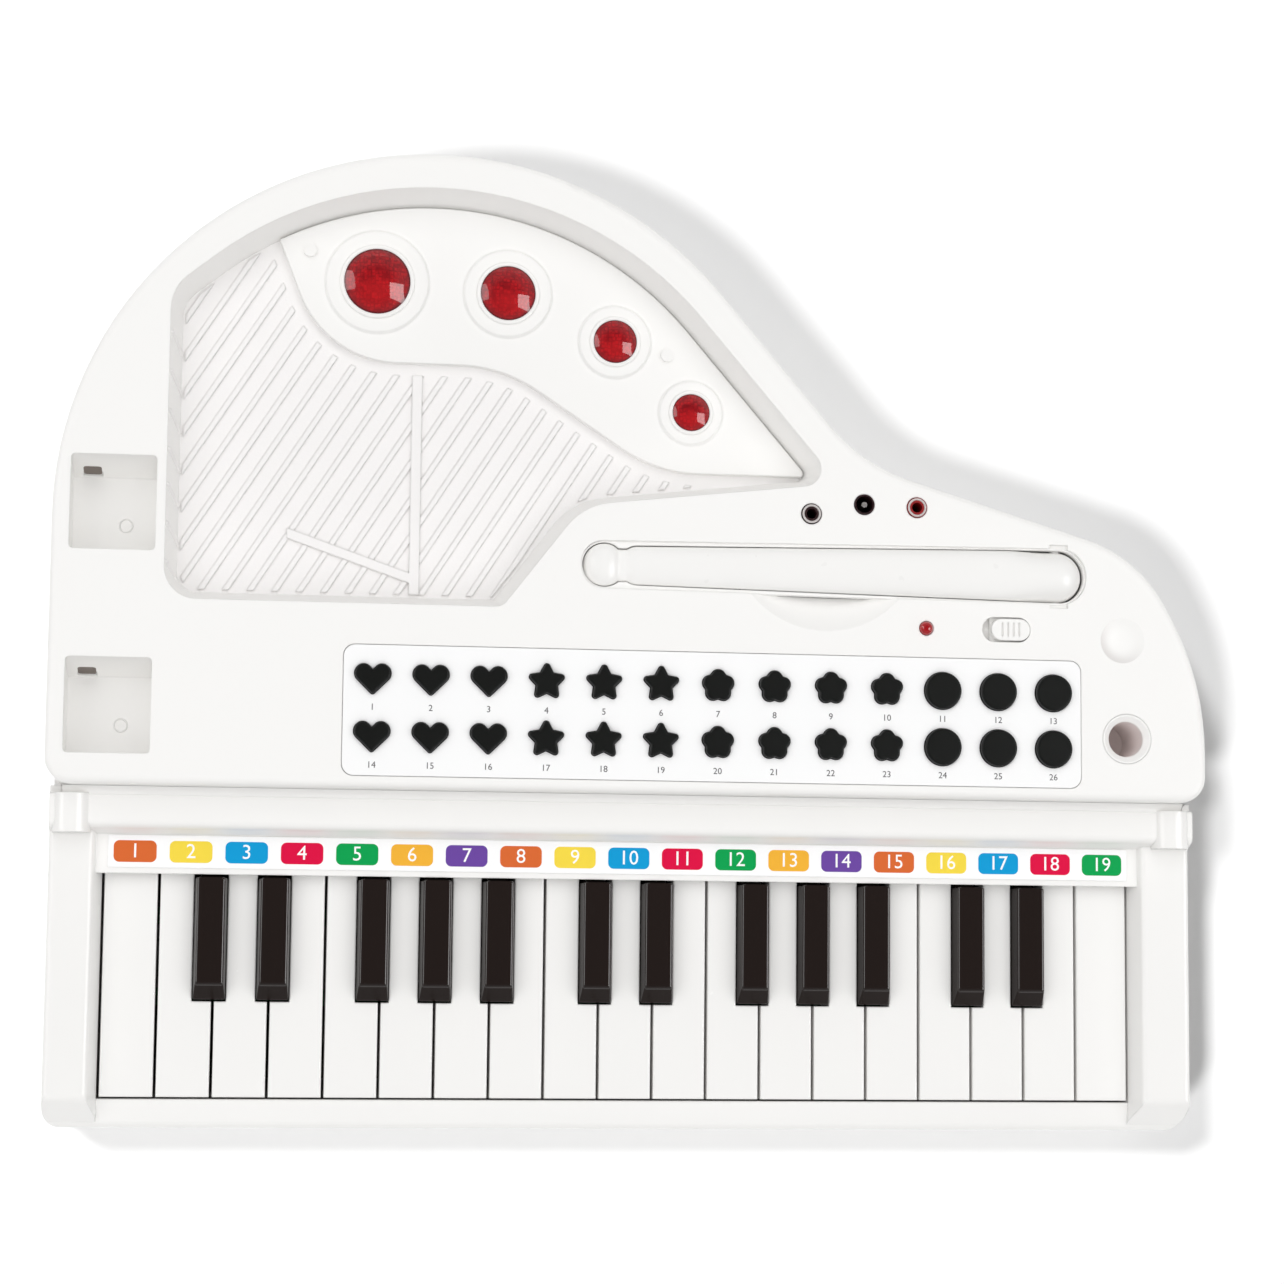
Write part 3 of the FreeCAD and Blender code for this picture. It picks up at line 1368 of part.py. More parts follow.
black_pusher = pivot_y - s.black_pusher_from_pivot - black_front
for number, x in enumerate(blacks.values(), 1):
    body = body_at(x, black_front, s.black_bottom)
    stem_high = s.key_top - s.black_bottom
    sketch = body_sketch(body, "XY_Plane")
    outline(sketch, rectangle((-half_black, half_black), (as_size(0), black_depth)))
    pad(body, sketch, stem_high)
    foot = body_sketch(body, "XY_Plane", stem_high)
    outline(foot, rectangle((-half_black, half_black), (as_size(0), s.black_length)))
    crown = body_sketch(body, "XY_Plane", stem_high + s.black_rise)
    outline(crown, rectangle(middle(as_size(0), s.black_top_width), (s.black_front_slope, s.black_length)))
    block = body.newObject("PartDesign::AdditiveLoft", "Sharp")
    block.Profile = foot
    block.Sections = [crown]
    rooms = [((-half_black + s.key_wall, half_black - s.key_wall),
              (s.key_wall, black_pusher - s.pusher_thickness / 2)),
             ((-half_black + s.key_wall, half_black - s.key_wall),
              (black_pusher + s.pusher_thickness / 2, eye_from + key_front - black_front))]
    black_bodies.append((body, block, rooms, f"black_key_{number:02d}"))
    dome_places.append((x, pivot_y - s.black_pusher_from_pivot,
                        s.black_bottom - s.black_pusher_from_pivot * dip - s.rubber_gap))
doc.recompute()
for bodies, round_alias, bottom, start in ((white_bodies, "key_edge_round", s.key_bottom, key_front),
                                           (black_bodies, "black_edge_round", s.black_bottom, black_front)):
    for body, block, rooms, name in bodies:
        soften(body, block, round_alias)
        sketch = body_sketch(body, "XY_Plane")
        for room in rooms:
            outline(sketch, rectangle(*room))
        pocket(body, sketch, s.key_top - s.key_skin - bottom, True)
        eye = body_sketch(body, "YZ_Plane")
        ring(eye, pivot_y - start, s.key_pivot_height - bottom, s.pivot_rod_radius + s.key_bore_clearance)
        pocket(body, eye, s.key_pitch, False)
        node(body, name)

# Key action: pivot rod, bed with saddles and stop rail, contact board and rubber domes
rod_left = keyboard_left + s.rod_end_gap
rod_right = keyboard_right - s.rod_end_gap
node(bar(s.pivot_rod_radius, rod_left, pivot_y, s.key_pivot_height, rod_right - rod_left, "x"),
     "key_pivot_rod")
bed_x = (keyboard_left + s.bed_end_gap, keyboard_right - s.bed_end_gap)
bed_y = (key_front + s.bed_front_margin, deck_front - s.bed_rear_margin)
bed_top = s.bed_height + s.bed_plate
rail_y = (key_front + s.stop_rail_depth, key_front + s.stop_rail_depth * 2)
rail_top = s.key_bottom - (pivot_y - rail_y[0]) * dip - s.stop_rail_gap
saddles = []
for gap in SADDLE_GAPS:
    x = keyboard_x + s.key_pitch * (gap - key_count / 2)
    saddles.append(box(middle(x, s.saddle_thickness), middle(pivot_y, s.saddle_depth),
                       (s.bed_height, s.key_pivot_height + s.saddle_above_rod)))
bed_posts = [bar(s.bed_post_radius, keyboard_x + key_span * share, y, floor_top, bed_top - floor_top)
             for share in BED_POST_SHARES for y in (bed_y[0] + s.bed_post_inset, bed_y[1] - s.bed_post_inset)]
bed = fuse(box(bed_x, bed_y, (s.bed_height, bed_top)), box(bed_x, rail_y, (s.bed_height, rail_top)),
           *saddles, *bed_posts)
rod_bore = bar(s.pivot_rod_radius + s.saddle_clearance, rod_left - s.key_pitch, pivot_y, s.key_pivot_height,
               rod_right - rod_left + s.key_pitch * 2, "x")
node(cut(bed, rod_bore), "key_bed")
contact_y = pivot_y - (s.white_pusher_from_pivot + s.black_pusher_from_pivot) / 2
board_x = (keyboard_left + s.contact_board_gap, keyboard_right - s.contact_board_gap)
board_top = bed_top + s.board_thickness
node(box(board_x, middle(contact_y, s.contact_board_length), (bed_top, board_top)), "key_contact_board")
sheet_y = (pivot_y - s.white_pusher_from_pivot - s.rubber_margin,
           pivot_y - s.black_pusher_from_pivot + s.rubber_margin)
domes = [cone(s.rubber_dome_radius, s.rubber_dome_tip, x, y, board_top, high - board_top)
         for x, y, high in dome_places]
node(fuse(box(board_x, sheet_y, (board_top, board_top + s.rubber_sheet)), *domes), "key_contact_rubber")

# Bottom shell with screw posts, battery box, grille, board posts and seats for the feet
base_block = extrude(inset(case_plan(s.foot_height), s.base_inset), s.parting_height - s.foot_height)
base_hollow = extrude(inset(case_plan(floor_top), s.base_inset + s.base_wall), s.parting_height)
all_screws = deck_screws + cheek_screws
posts = [bar(s.post_radius, x, y, s.foot_height, s.parting_height - s.foot_height) for x, y in all_screws]
post_holes = []
for x, y in all_screws:
    post_holes.append(bar(s.screw_head_radius + s.screw_head_clearance, x, y, s.foot_height - s.overrun,
                          s.screw_seat - s.foot_height + s.overrun))
    post_holes.append(bar(s.screw_radius + s.screw_clearance, x, y, s.foot_height - s.overrun,
                          s.parting_height))
cell_x = middle(s.battery_x, s.battery_width)
cell_y = middle(s.battery_y, s.battery_length)
cell_high = s.parting_height - s.battery_wall * 2


def around(pair, reach):
    return pair[0] - reach, pair[1] + reach


cell_walls = box(around(cell_x, s.battery_wall + s.battery_door_ledge),
                 around(cell_y, s.battery_wall + s.battery_door_ledge),
                 (s.foot_height, cell_high + s.battery_wall))
cells = box(cell_x, cell_y, (s.foot_height - s.overrun, cell_high))
door_seat = box(around(cell_x, s.battery_door_ledge), around(cell_y, s.battery_door_ledge),
                (s.foot_height - s.overrun, s.foot_height + s.battery_wall))
board_posts = []
for side in (-1, 1):
    for end in (-1, 1):
        board_posts.append(bar(s.main_board_post_radius,
                               s.main_board_x + (s.main_board_width / 2 - s.main_board_post_inset) * side,
                               s.main_board_y + (s.main_board_length / 2 - s.main_board_post_inset) * end,
                               s.foot_height, s.main_board_height - s.foot_height))
grille_radius = s.speaker_radius - s.grille_slot_pitch
slots = []
for step in GRILLE_ROWS:
    y = s.speaker_y + s.grille_slot_pitch * step
    reach = root(grille_radius * grille_radius - s.grille_slot_pitch * s.grille_slot_pitch * step * step)
    slots.append(box((s.speaker_x - reach, s.speaker_x + reach), middle(y, s.grille_slot_width),
                     (s.foot_height - s.overrun, floor_top + s.overrun)))
tail_x = left + tail_radius
foot_places = [
    (left + s.foot_from_side, front + s.foot_from_front),
    (right - s.foot_from_side, front + s.foot_from_front),
    (tail_x - s.rear_foot_spread, rear - s.foot_from_rear),
    (tail_x + s.rear_foot_spread, rear - s.foot_from_rear),
    (right - s.side_foot_from_right, deck_front + s.side_foot_from_deck_front),
]
seats = [bar(s.foot_radius + s.foot_clearance, x, y, s.foot_height - s.overrun, s.foot_seat + s.overrun)
         for x, y in foot_places]
base_whole = fuse(cut(base_block, base_hollow), cell_walls, *posts, *board_posts)
node(cut(base_whole, cells, door_seat, *post_holes, *slots, *seats), "bottom_shell")
node(group(*[bar(s.foot_radius, x, y, 0, s.foot_height + s.foot_seat) for x, y in foot_places]),
     "rubber_feet")
door = box(around(cell_x, s.battery_door_ledge - s.battery_door_gap),
           around(cell_y, s.battery_door_ledge - s.battery_door_gap),
           (s.foot_height, s.foot_height + s.battery_wall))
door_grips = [box(middle(s.battery_x, s.battery_grip_length),
                  middle(s.battery_y + s.battery_grip_width * step, s.battery_grip_width / 2),
                  (s.foot_height - s.overrun, s.foot_height + s.battery_grip_depth)) for step in (-1, 0, 1)]
node(cut(door, *door_grips), "battery_door")
node(box(middle(s.main_board_x, s.main_board_width), middle(s.main_board_y, s.main_board_length),
         (s.main_board_height, s.main_board_height + s.board_thickness)), "main_board")
cone_top = floor_top + s.speaker_cone_height
node(turned([(s.speaker_radius - s.speaker_rim, floor_top), (s.speaker_radius, floor_top),
             (s.speaker_radius, floor_top + s.speaker_rim), (s.speaker_neck_radius, cone_top),
             (s.speaker_neck_radius, floor_top + s.speaker_height), (0, floor_top + s.speaker_height),
             (0, cone_top - s.speaker_rim), (s.speaker_neck_radius / 2, cone_top - s.speaker_rim)],
            s.speaker_x, s.speaker_y), "speaker")


def screw(x, y):
    return fuse(bar(s.screw_head_radius, x, y, s.screw_seat - s.screw_head_height, s.screw_head_height),
                bar(s.screw_radius, x, y, s.screw_seat, s.screw_length))


def lamp_screw(x, y):
    return fuse(bar(s.lamp_screw_head_radius, x, y, lamp_top, s.lamp_screw_head_height),
                bar(s.lamp_screw_radius, x, y, plate_low, lamp_top - plate_low))


node(group(*[screw(x, y) for x, y in all_screws], *[lamp_screw(x, y) for x, y in lamp_screws]), "case_screws")

doc.recompute()
faults = [thing.Label for thing in doc.Objects if set(thing.State) & {"Invalid", "Error"}]
faults += [piece.Label for piece in nodes if piece.Shape.isNull() or not piece.Shape.isValid()]
if faults:
    raise SystemExit(f"faulty pieces: {faults}")
os.makedirs("parts", exist_ok=True)
for piece in nodes:
    piece.Shape.exportStep(f"parts/{piece.Label}.step")
    print(piece.Label, len(piece.Shape.Solids), round(piece.Shape.Volume))
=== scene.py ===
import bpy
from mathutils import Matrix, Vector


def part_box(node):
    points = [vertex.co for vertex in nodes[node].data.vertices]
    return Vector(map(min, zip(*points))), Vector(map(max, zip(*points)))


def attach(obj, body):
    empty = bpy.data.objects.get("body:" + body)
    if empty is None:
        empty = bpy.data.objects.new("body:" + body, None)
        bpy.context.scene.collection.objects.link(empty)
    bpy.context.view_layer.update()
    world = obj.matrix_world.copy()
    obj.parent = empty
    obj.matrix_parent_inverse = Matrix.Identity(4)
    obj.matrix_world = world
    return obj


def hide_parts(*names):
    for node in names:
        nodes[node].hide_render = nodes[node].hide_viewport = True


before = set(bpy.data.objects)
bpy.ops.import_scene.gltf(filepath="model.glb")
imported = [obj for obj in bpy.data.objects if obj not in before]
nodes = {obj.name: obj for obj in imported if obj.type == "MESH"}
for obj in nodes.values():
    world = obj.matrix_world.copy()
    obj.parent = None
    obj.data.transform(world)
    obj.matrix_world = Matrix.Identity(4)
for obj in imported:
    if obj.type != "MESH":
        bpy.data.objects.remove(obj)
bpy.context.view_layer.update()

import bpy
import numpy as np
from mathutils import Euler, Matrix

MM = 0.001
MICRON = 1e-6
PRINT = 0.05 * MM
scene = bpy.context.scene
WHITE_KEYS = sorted(name for name in nodes if name.startswith("white_key"))
BLACK_KEYS = sorted(name for name in nodes if name.startswith("black_key"))


# Shader arithmetic
class Shade:
    """A socket of a node tree; operators on it add Math nodes."""

    def __init__(self, tree, socket):
        self.tree = tree
        self.socket = socket

    def node(self, kind, settings=None, inputs=None, output=0):
        """Adds any node: its type, its settings, then the values or links of its sockets."""
        made = self.tree.nodes.new(kind)
        for key, value in (settings or {}).items():
            setattr(made, key, value)
        for key, value in (inputs or {}).items():
            if isinstance(value, Shade):
                self.tree.links.new(value.socket, made.inputs[key])
            else:
                made.inputs[key].default_value = value
        return Shade(self.tree, made.outputs[output])

    def math(self, operation, first, second=0.0):
        return self.node("ShaderNodeMath", {"operation": operation}, {0: first, 1: second})

    def __add__(self, other):
        return self.math("ADD", self, other)

    __radd__ = __add__

    def __mul__(self, other):
        return self.math("MULTIPLY", self, other)

    __rmul__ = __mul__

    def __sub__(self, other):
        return self.math("SUBTRACT", self, other)

    def __rsub__(self, other):
        return self.math("SUBTRACT", other, self)

    def __gt__(self, other):
        return self.math("GREATER_THAN", self, other)

    def __lt__(self, other):
        return self.math("LESS_THAN", self, other)

    def within(self, low, high):
        """One between two values, else nothing."""
        return (self > low) * (self < high)

    def fade(self, low, high):
        """Smooth rise from nothing at one value to one at another."""
        return self.node("ShaderNodeMapRange", {"interpolation_type": "SMOOTHSTEP"},
                         {0: self, 1: low, 2: high, 3: 0.0, 4: 1.0})

    def mix(self, low, high):
        """Colour between two colours, with this value as the share of the second."""
        return self.node("ShaderNodeMix", {"data_type": "RGBA"}, {0: self, 6: low, 7: high}, 2)

    def noise(self, scale, detail=2.0):
        """Cloudy value about one half, read at this position."""
        return self.node("ShaderNodeTexNoise", {}, {"Vector": self, "Scale": scale, "Detail": detail})

    def axis(self, letter):
        """One coordinate of this position."""
        return self.node("ShaderNodeSeparateXYZ", {}, {0: self}, "XYZ".index(letter))

    def near(self, x, y, radius):
        """One inside an upright cylinder round a place, else nothing."""
        across = self.axis("X") - x
        along = self.axis("Y") - y
        return (across * across + along * along) < radius * radius


class Finish:
    """A material with one Principled shader; constants are set on the shader's own sockets."""

    def __init__(self, name, **constants):
        self.material = bpy.data.materials.new(name)
        self.material.use_nodes = True
        tree = self.material.node_tree
        self.shader = tree.nodes["Principled BSDF"]
        self.place = Shade(tree, tree.nodes.new("ShaderNodeTexCoord").outputs["Object"])
        for key, value in constants.items():
            self.shader.inputs[key.replace("_", " ")].default_value = value

    def feed(self, socket, shade):
        """Links a varying value to one of the shader's sockets."""
        self.shader.id_data.links.new(shade.socket, self.shader.inputs[socket])

    def attribute(self, name, output):
        """A mesh attribute as a colour, a vector or a number."""
        return self.place.node("ShaderNodeAttribute", {"attribute_name": name}, None, output)

    def relief(self, height, distance, edge=0.0):
        """Bump of a height over edges rounded by a radius."""
        inputs = {"Height": height, "Distance": distance, "Strength": 1.0}
        if edge:
            inputs["Normal"] = self.place.node("ShaderNodeBevel", {"samples": 4}, {"Radius": edge})
        self.feed("Normal", self.place.node("ShaderNodeBump", {}, inputs))


# Outputs of an Attribute node
AS_COLOUR, AS_VECTOR, AS_NUMBER = 0, 1, 2


def rgba(red, green, blue):
    """Screen colour of 0 to 255 as linear light."""
    share = np.array([red, green, blue]) / 255.0
    linear = np.where(share <= 0.04045, share / 12.92, ((share + 0.055) / 1.055) ** 2.4)
    return (*linear.tolist(), 1.0)


def darker(color, share):
    """A colour at a share of its light."""
    return (*[part * share for part in color[:3]], 1.0)


CLOUD_SCALE, CLOUD_SHADE = 35.0, 0.975
GLOSS_SCALE, GLOSS_SPAN = 160.0, 0.12


def moulded(name, color, roughness, edge=0.0, grain=6.0, speckle=1800.0, **constants):
    """Moulded plastic: faint clouds in colour and gloss, grain of some microns in the surface."""
    finish = Finish(name, **constants)
    clouds = finish.place.noise(CLOUD_SCALE, detail=3.0)
    finish.feed("Base Color", clouds.mix(darker(color, CLOUD_SHADE), color))
    gloss = finish.place.noise(GLOSS_SCALE)
    finish.feed("Roughness", gloss * GLOSS_SPAN + (roughness - GLOSS_SPAN / 2))
    finish.relief(finish.place.noise(speckle), grain * MICRON, edge)
    return finish


def dress(finish, *names):
    """Gives CAD nodes a finish."""
    for name in names:
        mesh = nodes[name].data
        mesh.materials.clear()
        mesh.materials.append(finish.material)


# Surfaces
def surface(name, parts, finish, body, crease=0.6):
    """One mesh of several (points, faces) parts, placed by its vertices."""
    points, faces, start = [], [], 0
    for part_points, part_faces in parts:
        points.append(part_points)
        for sort in part_faces:
            faces += (sort + start).tolist()
        start += len(part_points)
    mesh = bpy.data.meshes.new(name)
    mesh.from_pydata(np.concatenate(points).tolist(), [], faces)
    mesh.materials.append(finish.material)
    mesh.validate()
    mesh.shade_smooth()
    mesh.set_sharp_from_angle(angle=crease)
    piece = bpy.data.objects.new(name, mesh)
    scene.collection.objects.link(piece)
    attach(piece, body)
    return piece


def lofted(rings, ends=True):
    """Skin over a row of closed rings: neighbours are joined by quads; then a fan closes each end at
    the middle of its ring, or else the last ring joins the first."""
    rows, columns = rings.shape[:2]
    row, column = np.meshgrid(np.arange(rows - ends), np.arange(columns), indexing="ij")
    after, above = (column + 1) % columns, (row + 1) % rows
    quads = np.stack([row * columns + column, row * columns + after, above * columns + after,
                      above * columns + column], axis=-1).reshape(-1, 4)
    points = rings.reshape(-1, 3)
    if not ends:
        return points, [quads]
    side = np.arange(columns)
    after, top = (side + 1) % columns, (rows - 1) * columns
    pole = np.full_like(side, rows * columns)
    fans = [np.stack([after, side, pole], axis=-1),
            np.stack([side + top, after + top, pole + 1], axis=-1)]
    poles = [rings[:1].mean(axis=1), rings[-1:].mean(axis=1)]
    return np.concatenate([points, *poles]), [quads, *fans]


def turned(profile, centre, segments=64, ends=True):
    """Surface of revolution: each (radius, height) of the profile carried round an upright axis."""
    radius, height = np.asarray(profile, float).T[:, :, None]
    angle = np.linspace(0.0, 2.0 * np.pi, segments, endpoint=False)
    rings = np.stack([centre[0] + radius * np.cos(angle), centre[1] + radius * np.sin(angle),
                      height + 0.0 * angle], axis=-1)
    return lofted(rings, ends)


def rounded_outline(width, height, radius, segments=8):
    """Rectangle with round corners: quarter circles about the four inner corners, in turn."""
    quarter = np.linspace(0.0, 0.5 * np.pi, segments)
    angle = np.concatenate([quarter + 0.5 * np.pi * corner for corner in range(4)])
    sign = np.repeat(np.array([[1, 1], [-1, 1], [-1, -1], [1, -1]]), segments, axis=0)
    inner = np.array([width / 2 - radius, height / 2 - radius])
    return sign * inner + radius * np.stack([np.cos(angle), np.sin(angle)], axis=-1)


def level_ring(outline, height):
    """Plan outline raised to a height."""
    return np.column_stack([outline, np.full(len(outline), height)])


def plate(outline, centre, low, high, bevel):
    """Thin plate: an outline carried up from its foot and in over a bevel."""
    rings = [level_ring(outline * (1.0 - inset / np.abs(outline).max()) + np.asarray(centre), height)
             for height, inset in ((low, 0.0), (high - bevel, 0.0), (high, bevel))]
    return lofted(np.stack(rings))


def stacked(levels, middle_x, front, rear, corner):
    """Block of level rings: each (height, half width, front inset) gives a rectangle with round corners."""
    rings = []
    for height, half_width, inset in levels:
        outline = rounded_outline(2.0 * half_width, rear - front - inset, corner, segments=6)
        rings.append(level_ring(outline + (middle_x, (front + inset + rear) / 2), height))
    return lofted(np.stack(rings))


ROD_INSET, NEARLY_ALONG = 0.02, 0.9


def rod(start, stop, radius, steps=13, segments=16):
    """Round rod between two points, its radius falling to nothing along a circle at both ends."""
    start, stop = np.asarray(start, float), np.asarray(stop, float)
    share = 0.5 - 0.5 * np.cos(np.linspace(ROD_INSET, 1.0 - ROD_INSET, steps) * np.pi)
    length = np.linalg.norm(stop - start)
    near_end = np.minimum(np.minimum(share, 1.0 - share) * length / radius, 1.0)
    width = radius * np.sqrt(near_end * (2.0 - near_end))
    along = (stop - start) / length
    across = np.cross(along, [0.0, 1.0, 0.0] if abs(along[1]) < NEARLY_ALONG else [1.0, 0.0, 0.0])
    across /= np.linalg.norm(across)
    third = np.cross(along, across)
    angle = np.linspace(0.0, 2.0 * np.pi, segments, endpoint=False)[:, None]
    circle = np.cos(angle) * across + np.sin(angle) * third
    centres = start + share[:, None] * (stop - start)
    return lofted(centres[:, None, :] + width[:, None, None] * circle)


def figures(text, size, centre, height, thickness):
    """Printed figures: the outline of a text, filled, centred on a point and laid level."""
    curve = bpy.data.curves.new("figures", "FONT")
    curve.body = text
    curve.size = size
    curve.align_x = "CENTER"
    curve.align_y = "CENTER"
    curve.extrude = thickness / 2
    curve.resolution_u = 3
    holder = bpy.data.objects.new("figures", curve)
    scene.collection.objects.link(holder)
    bpy.context.view_layer.update()
    mesh = bpy.data.meshes.new_from_object(holder)
    bpy.data.objects.remove(holder)
    points = np.zeros(len(mesh.vertices) * 3)
    mesh.vertices.foreach_get("co", points)
    mesh.calc_loop_triangles()
    faces = np.zeros(len(mesh.loop_triangles) * 3, int)
    mesh.loop_triangles.foreach_get("vertices", faces)
    bpy.data.meshes.remove(mesh)
    return points.reshape(-1, 3) + np.array([*centre, height]), [faces.reshape(-1, 3)]


# Finishes
BODY_WHITE = rgba(249, 248, 246)
PAPER_WHITE = rgba(255, 255, 255)
CASE_IOR = 1.46
case_white = moulded("case_white", BODY_WHITE, 0.45, edge=0.6 * MM, IOR=CASE_IOR)
stick_white = moulded("stick_white", BODY_WHITE, 0.3, grain=3.0, IOR=CASE_IOR)
sleeve_white = moulded("sleeve_white", BODY_WHITE, 0.45, edge=0.6 * MM, IOR=CASE_IOR)
slot_painted_shade = moulded("slot_painted_shade", rgba(112, 102, 95), 0.6)
frame_white = moulded("frame_white", BODY_WHITE, 0.2, edge=0.7 * MM, grain=3.0, IOR=CASE_IOR)
plate_white = moulded("plate_white", rgba(246, 244, 243), 0.5, edge=0.9 * MM, grain=40.0, speckle=1100.0,
                      IOR=CASE_IOR)
lamp_white = moulded("lamp_white", BODY_WHITE, 0.36, edge=0.9 * MM, IOR=CASE_IOR)
panel_white = moulded("panel_white", PAPER_WHITE, 0.42, edge=0.3 * MM, grain=2.0, IOR=CASE_IOR)
key_white = moulded("key_white", BODY_WHITE, 0.24, edge=0.6 * MM, grain=3.0, IOR=1.47)
key_black = moulded("key_black", rgba(36, 29, 27), 0.16, grain=3.0, Specular_IOR_Level=0.09,
                    Coat_Roughness=0.08)
key_black.feed("Coat Weight", key_black.attribute("polish", AS_NUMBER))
button_black = moulded("button_black", rgba(20, 21, 20), 0.42, edge=0.3 * MM, grain=5.0,
                       Specular_IOR_Level=0.2)
dark_plastic = moulded("dark_plastic", rgba(38, 37, 36), 0.5)
rubber_grey = moulded("rubber_grey", rgba(120, 119, 117), 0.75, grain=12.0)

# Painted shade inside the round dish of the deck, on the side towards the front left
DISH_X, DISH_Y, DISH_RADIUS = 171.0 * MM, 3.7 * MM, 7.9 * MM
DISH_FLAT = 3.0 * MM
DISH_FADE = (-4.0 * MM, 6.0 * MM)
DISH_LEAN, DISH_SHARE = 0.5, 0.8
dish_side = case_white.place.axis("X") - DISH_X
dish_depth = case_white.place.axis("Y") - DISH_Y
dish_reach = case_white.place.math("SQRT", dish_side * dish_side + dish_depth * dish_depth)
dish_shade = (dish_side * -DISH_LEAN - dish_depth * DISH_LEAN).fade(*DISH_FADE)
dish_shade = dish_shade * dish_reach.fade(DISH_FLAT, DISH_RADIUS)
dish_shade = dish_shade * (dish_reach < DISH_RADIUS) * DISH_SHARE
case_white.feed("Base Color", dish_shade.mix(BODY_WHITE, rgba(222, 218, 216)))

# Painted shade: the sleeve's bore is a little warmer and darker than its mouth
MOUTH_LOW, MOUTH_HIGH = 58.5 * MM, 61.2 * MM
bore_shade_fade = sleeve_white.place.axis("Z").fade(MOUTH_LOW, MOUTH_HIGH)
sleeve_white.feed("Base Color", bore_shade_fade.mix(rgba(247, 238, 236), BODY_WHITE))

board_green = Finish("board_green", Roughness=0.45)
trace = board_green.place.node("ShaderNodeTexBrick", {"offset": 0.5}, {
    "Vector": board_green.place, "Scale": 140.0, "Mortar Size": 0.02}, 1)
board_green.feed("Base Color", trace.mix(rgba(24, 96, 52), rgba(52, 130, 70)))

steel = Finish("steel", Metallic=1.0)
streak = steel.place.noise(900.0, detail=4.0)
steel.feed("Base Color", streak.mix(rgba(150, 150, 152), rgba(205, 205, 208)))
steel.feed("Roughness", streak * 0.25 + 0.15)

collar_grey = Finish("collar_grey", Metallic=0.1)
smear = collar_grey.place.noise(700.0, detail=3.0)
collar_grey.feed("Base Color", smear.mix(rgba(190, 182, 180), rgba(232, 228, 226)))
collar_grey.feed("Roughness", smear * 0.2 + 0.2)

# Screws: white heads on the lamp panel, bare steel in the bottom shell
LAMP_SCREWS_FROM = 40.0 * MM
screw_mix = Finish("screw_mix", Roughness=0.35)
upper = screw_mix.place.axis("Z") > LAMP_SCREWS_FROM
screw_mix.feed("Base Color", upper.mix(rgba(170, 170, 172), rgba(246, 245, 243)))
screw_mix.feed("Metallic", 1.0 - upper)

led_red = Finish("led_red", Coat_Weight=1.0, Coat_Roughness=0.04, Specular_IOR_Level=0.2)
glow = led_red.place.noise(260.0, detail=1.0)
led_red.feed("Base Color", glow.mix(rgba(146, 10, 20), rgba(182, 22, 31)))
led_red.feed("Roughness", glow * 0.1 + 0.12)

# Sockets: dark inside, the right one red, a bright pin in the power socket
AUDIO_PLACES = np.array([(59.3, 45.6), (96.9, 48.9)]) * MM
POWER_PLACE = np.array([78.1, 49.4]) * MM
POWER_PIN_RADIUS = 1.05 * MM
RIGHT_SOCKET_FROM = 90.0 * MM
socket_dark = Finish("socket_dark", Roughness=0.4)
wear = socket_dark.place.noise(500.0)
in_right = socket_dark.place.axis("X") > RIGHT_SOCKET_FROM
pin = socket_dark.place.near(*POWER_PLACE, POWER_PIN_RADIUS)
inside = wear.mix(rgba(22, 14, 16), rgba(58, 30, 32))
inside = in_right.mix(inside, wear.mix(rgba(120, 14, 22), rgba(160, 34, 34)))
socket_dark.feed("Base Color", pin.mix(inside, rgba(206, 200, 198)))
socket_dark.feed("Metallic", pin)

dress(case_white, "deck_cover", "bottom_shell", "battery_door", "lid_prop", "power_slider", "switch_body")
dress(sleeve_white, "stand_sleeve")
dress(frame_white, "keyboard_frame")
dress(plate_white, "string_plate")
dress(lamp_white, "lamp_panel")
dress(panel_white, "button_panel", "note_strip")
dress(key_white, *WHITE_KEYS)
dress(key_black, *BLACK_KEYS)
dress(button_black, "buttons_heart", "buttons_star", "buttons_flower", "buttons_round")
dress(dark_plastic, "key_bed", "speaker")
dress(rubber_grey, "key_contact_rubber", "rubber_feet")
dress(board_green, "upper_boards", "main_board", "key_contact_board")
dress(steel, "key_pivot_rod")
dress(screw_mix, "case_screws")
dress(led_red, "leds")
dress(socket_dark, "audio_jacks", "dc_jack")

# Red lenses: smooth domes over a facetted red moulding; a lens is its place and the radius of its seat
LENSES = np.array([(-92.9, 124.5, 12.15), (-47.1, 122.1, 10.2), (-9.1, 106.3, 8.1), (18.1, 81.9, 7.0)]) * MM
LENS_RIM = 1.5 * MM
LENS_RISE = 0.33
LENS_SHARE = 0.955
LENS_EDGE = np.array([(1.0, 0.0), (1.0, 0.75), (0.992, 1.0)])
DOME_SHARE = 0.985
DOME_ANGLES = 0.5 * np.pi * np.linspace(0.0, 1.0, 24)[:-1]
LENS_RING = np.array([(0.9, -1.2), (0.9, 0.05), (0.7, 0.2), (0.2, 0.25), (-0.1, 0.1), (-0.1, -1.2)]) * MM
LENS_SEGMENTS = 96
FACET_SCALE, FACET_DEPTH = 780.0, 0.12 * MM
FACET_FADE, PATCH_FADE, PAINTED_GLOW_FADE, PAINTED_RIM_SHADE_FADE = (0.15, 0.62), (0.4, 0.7), (-0.75, 0.35), (0.9, 0.97)
PATCH_SHARE, PAINTED_GLOW_SHARE = 0.55, 0.9
lens_red = Finish("lens_red", Coat_Weight=1.0, Coat_Roughness=0.02, Specular_IOR_Level=0.1)
spot = lens_red.attribute("spot", AS_VECTOR)
across, along = spot.axis("X"), spot.axis("Y")
reach = lens_red.place.math("SQRT", across * across + along * along)
cells = spot.node("ShaderNodeTexVoronoi", {"distance": "CHEBYCHEV", "feature": "F1"},
                  {"Vector": lens_red.place, "Scale": FACET_SCALE, "Randomness": 0.45})
patches = lens_red.place.noise(420.0)
# Painted light: a glow that lightens each lens towards its low middle
painted_glow_low = 1.0 - along.fade(*PAINTED_GLOW_FADE)
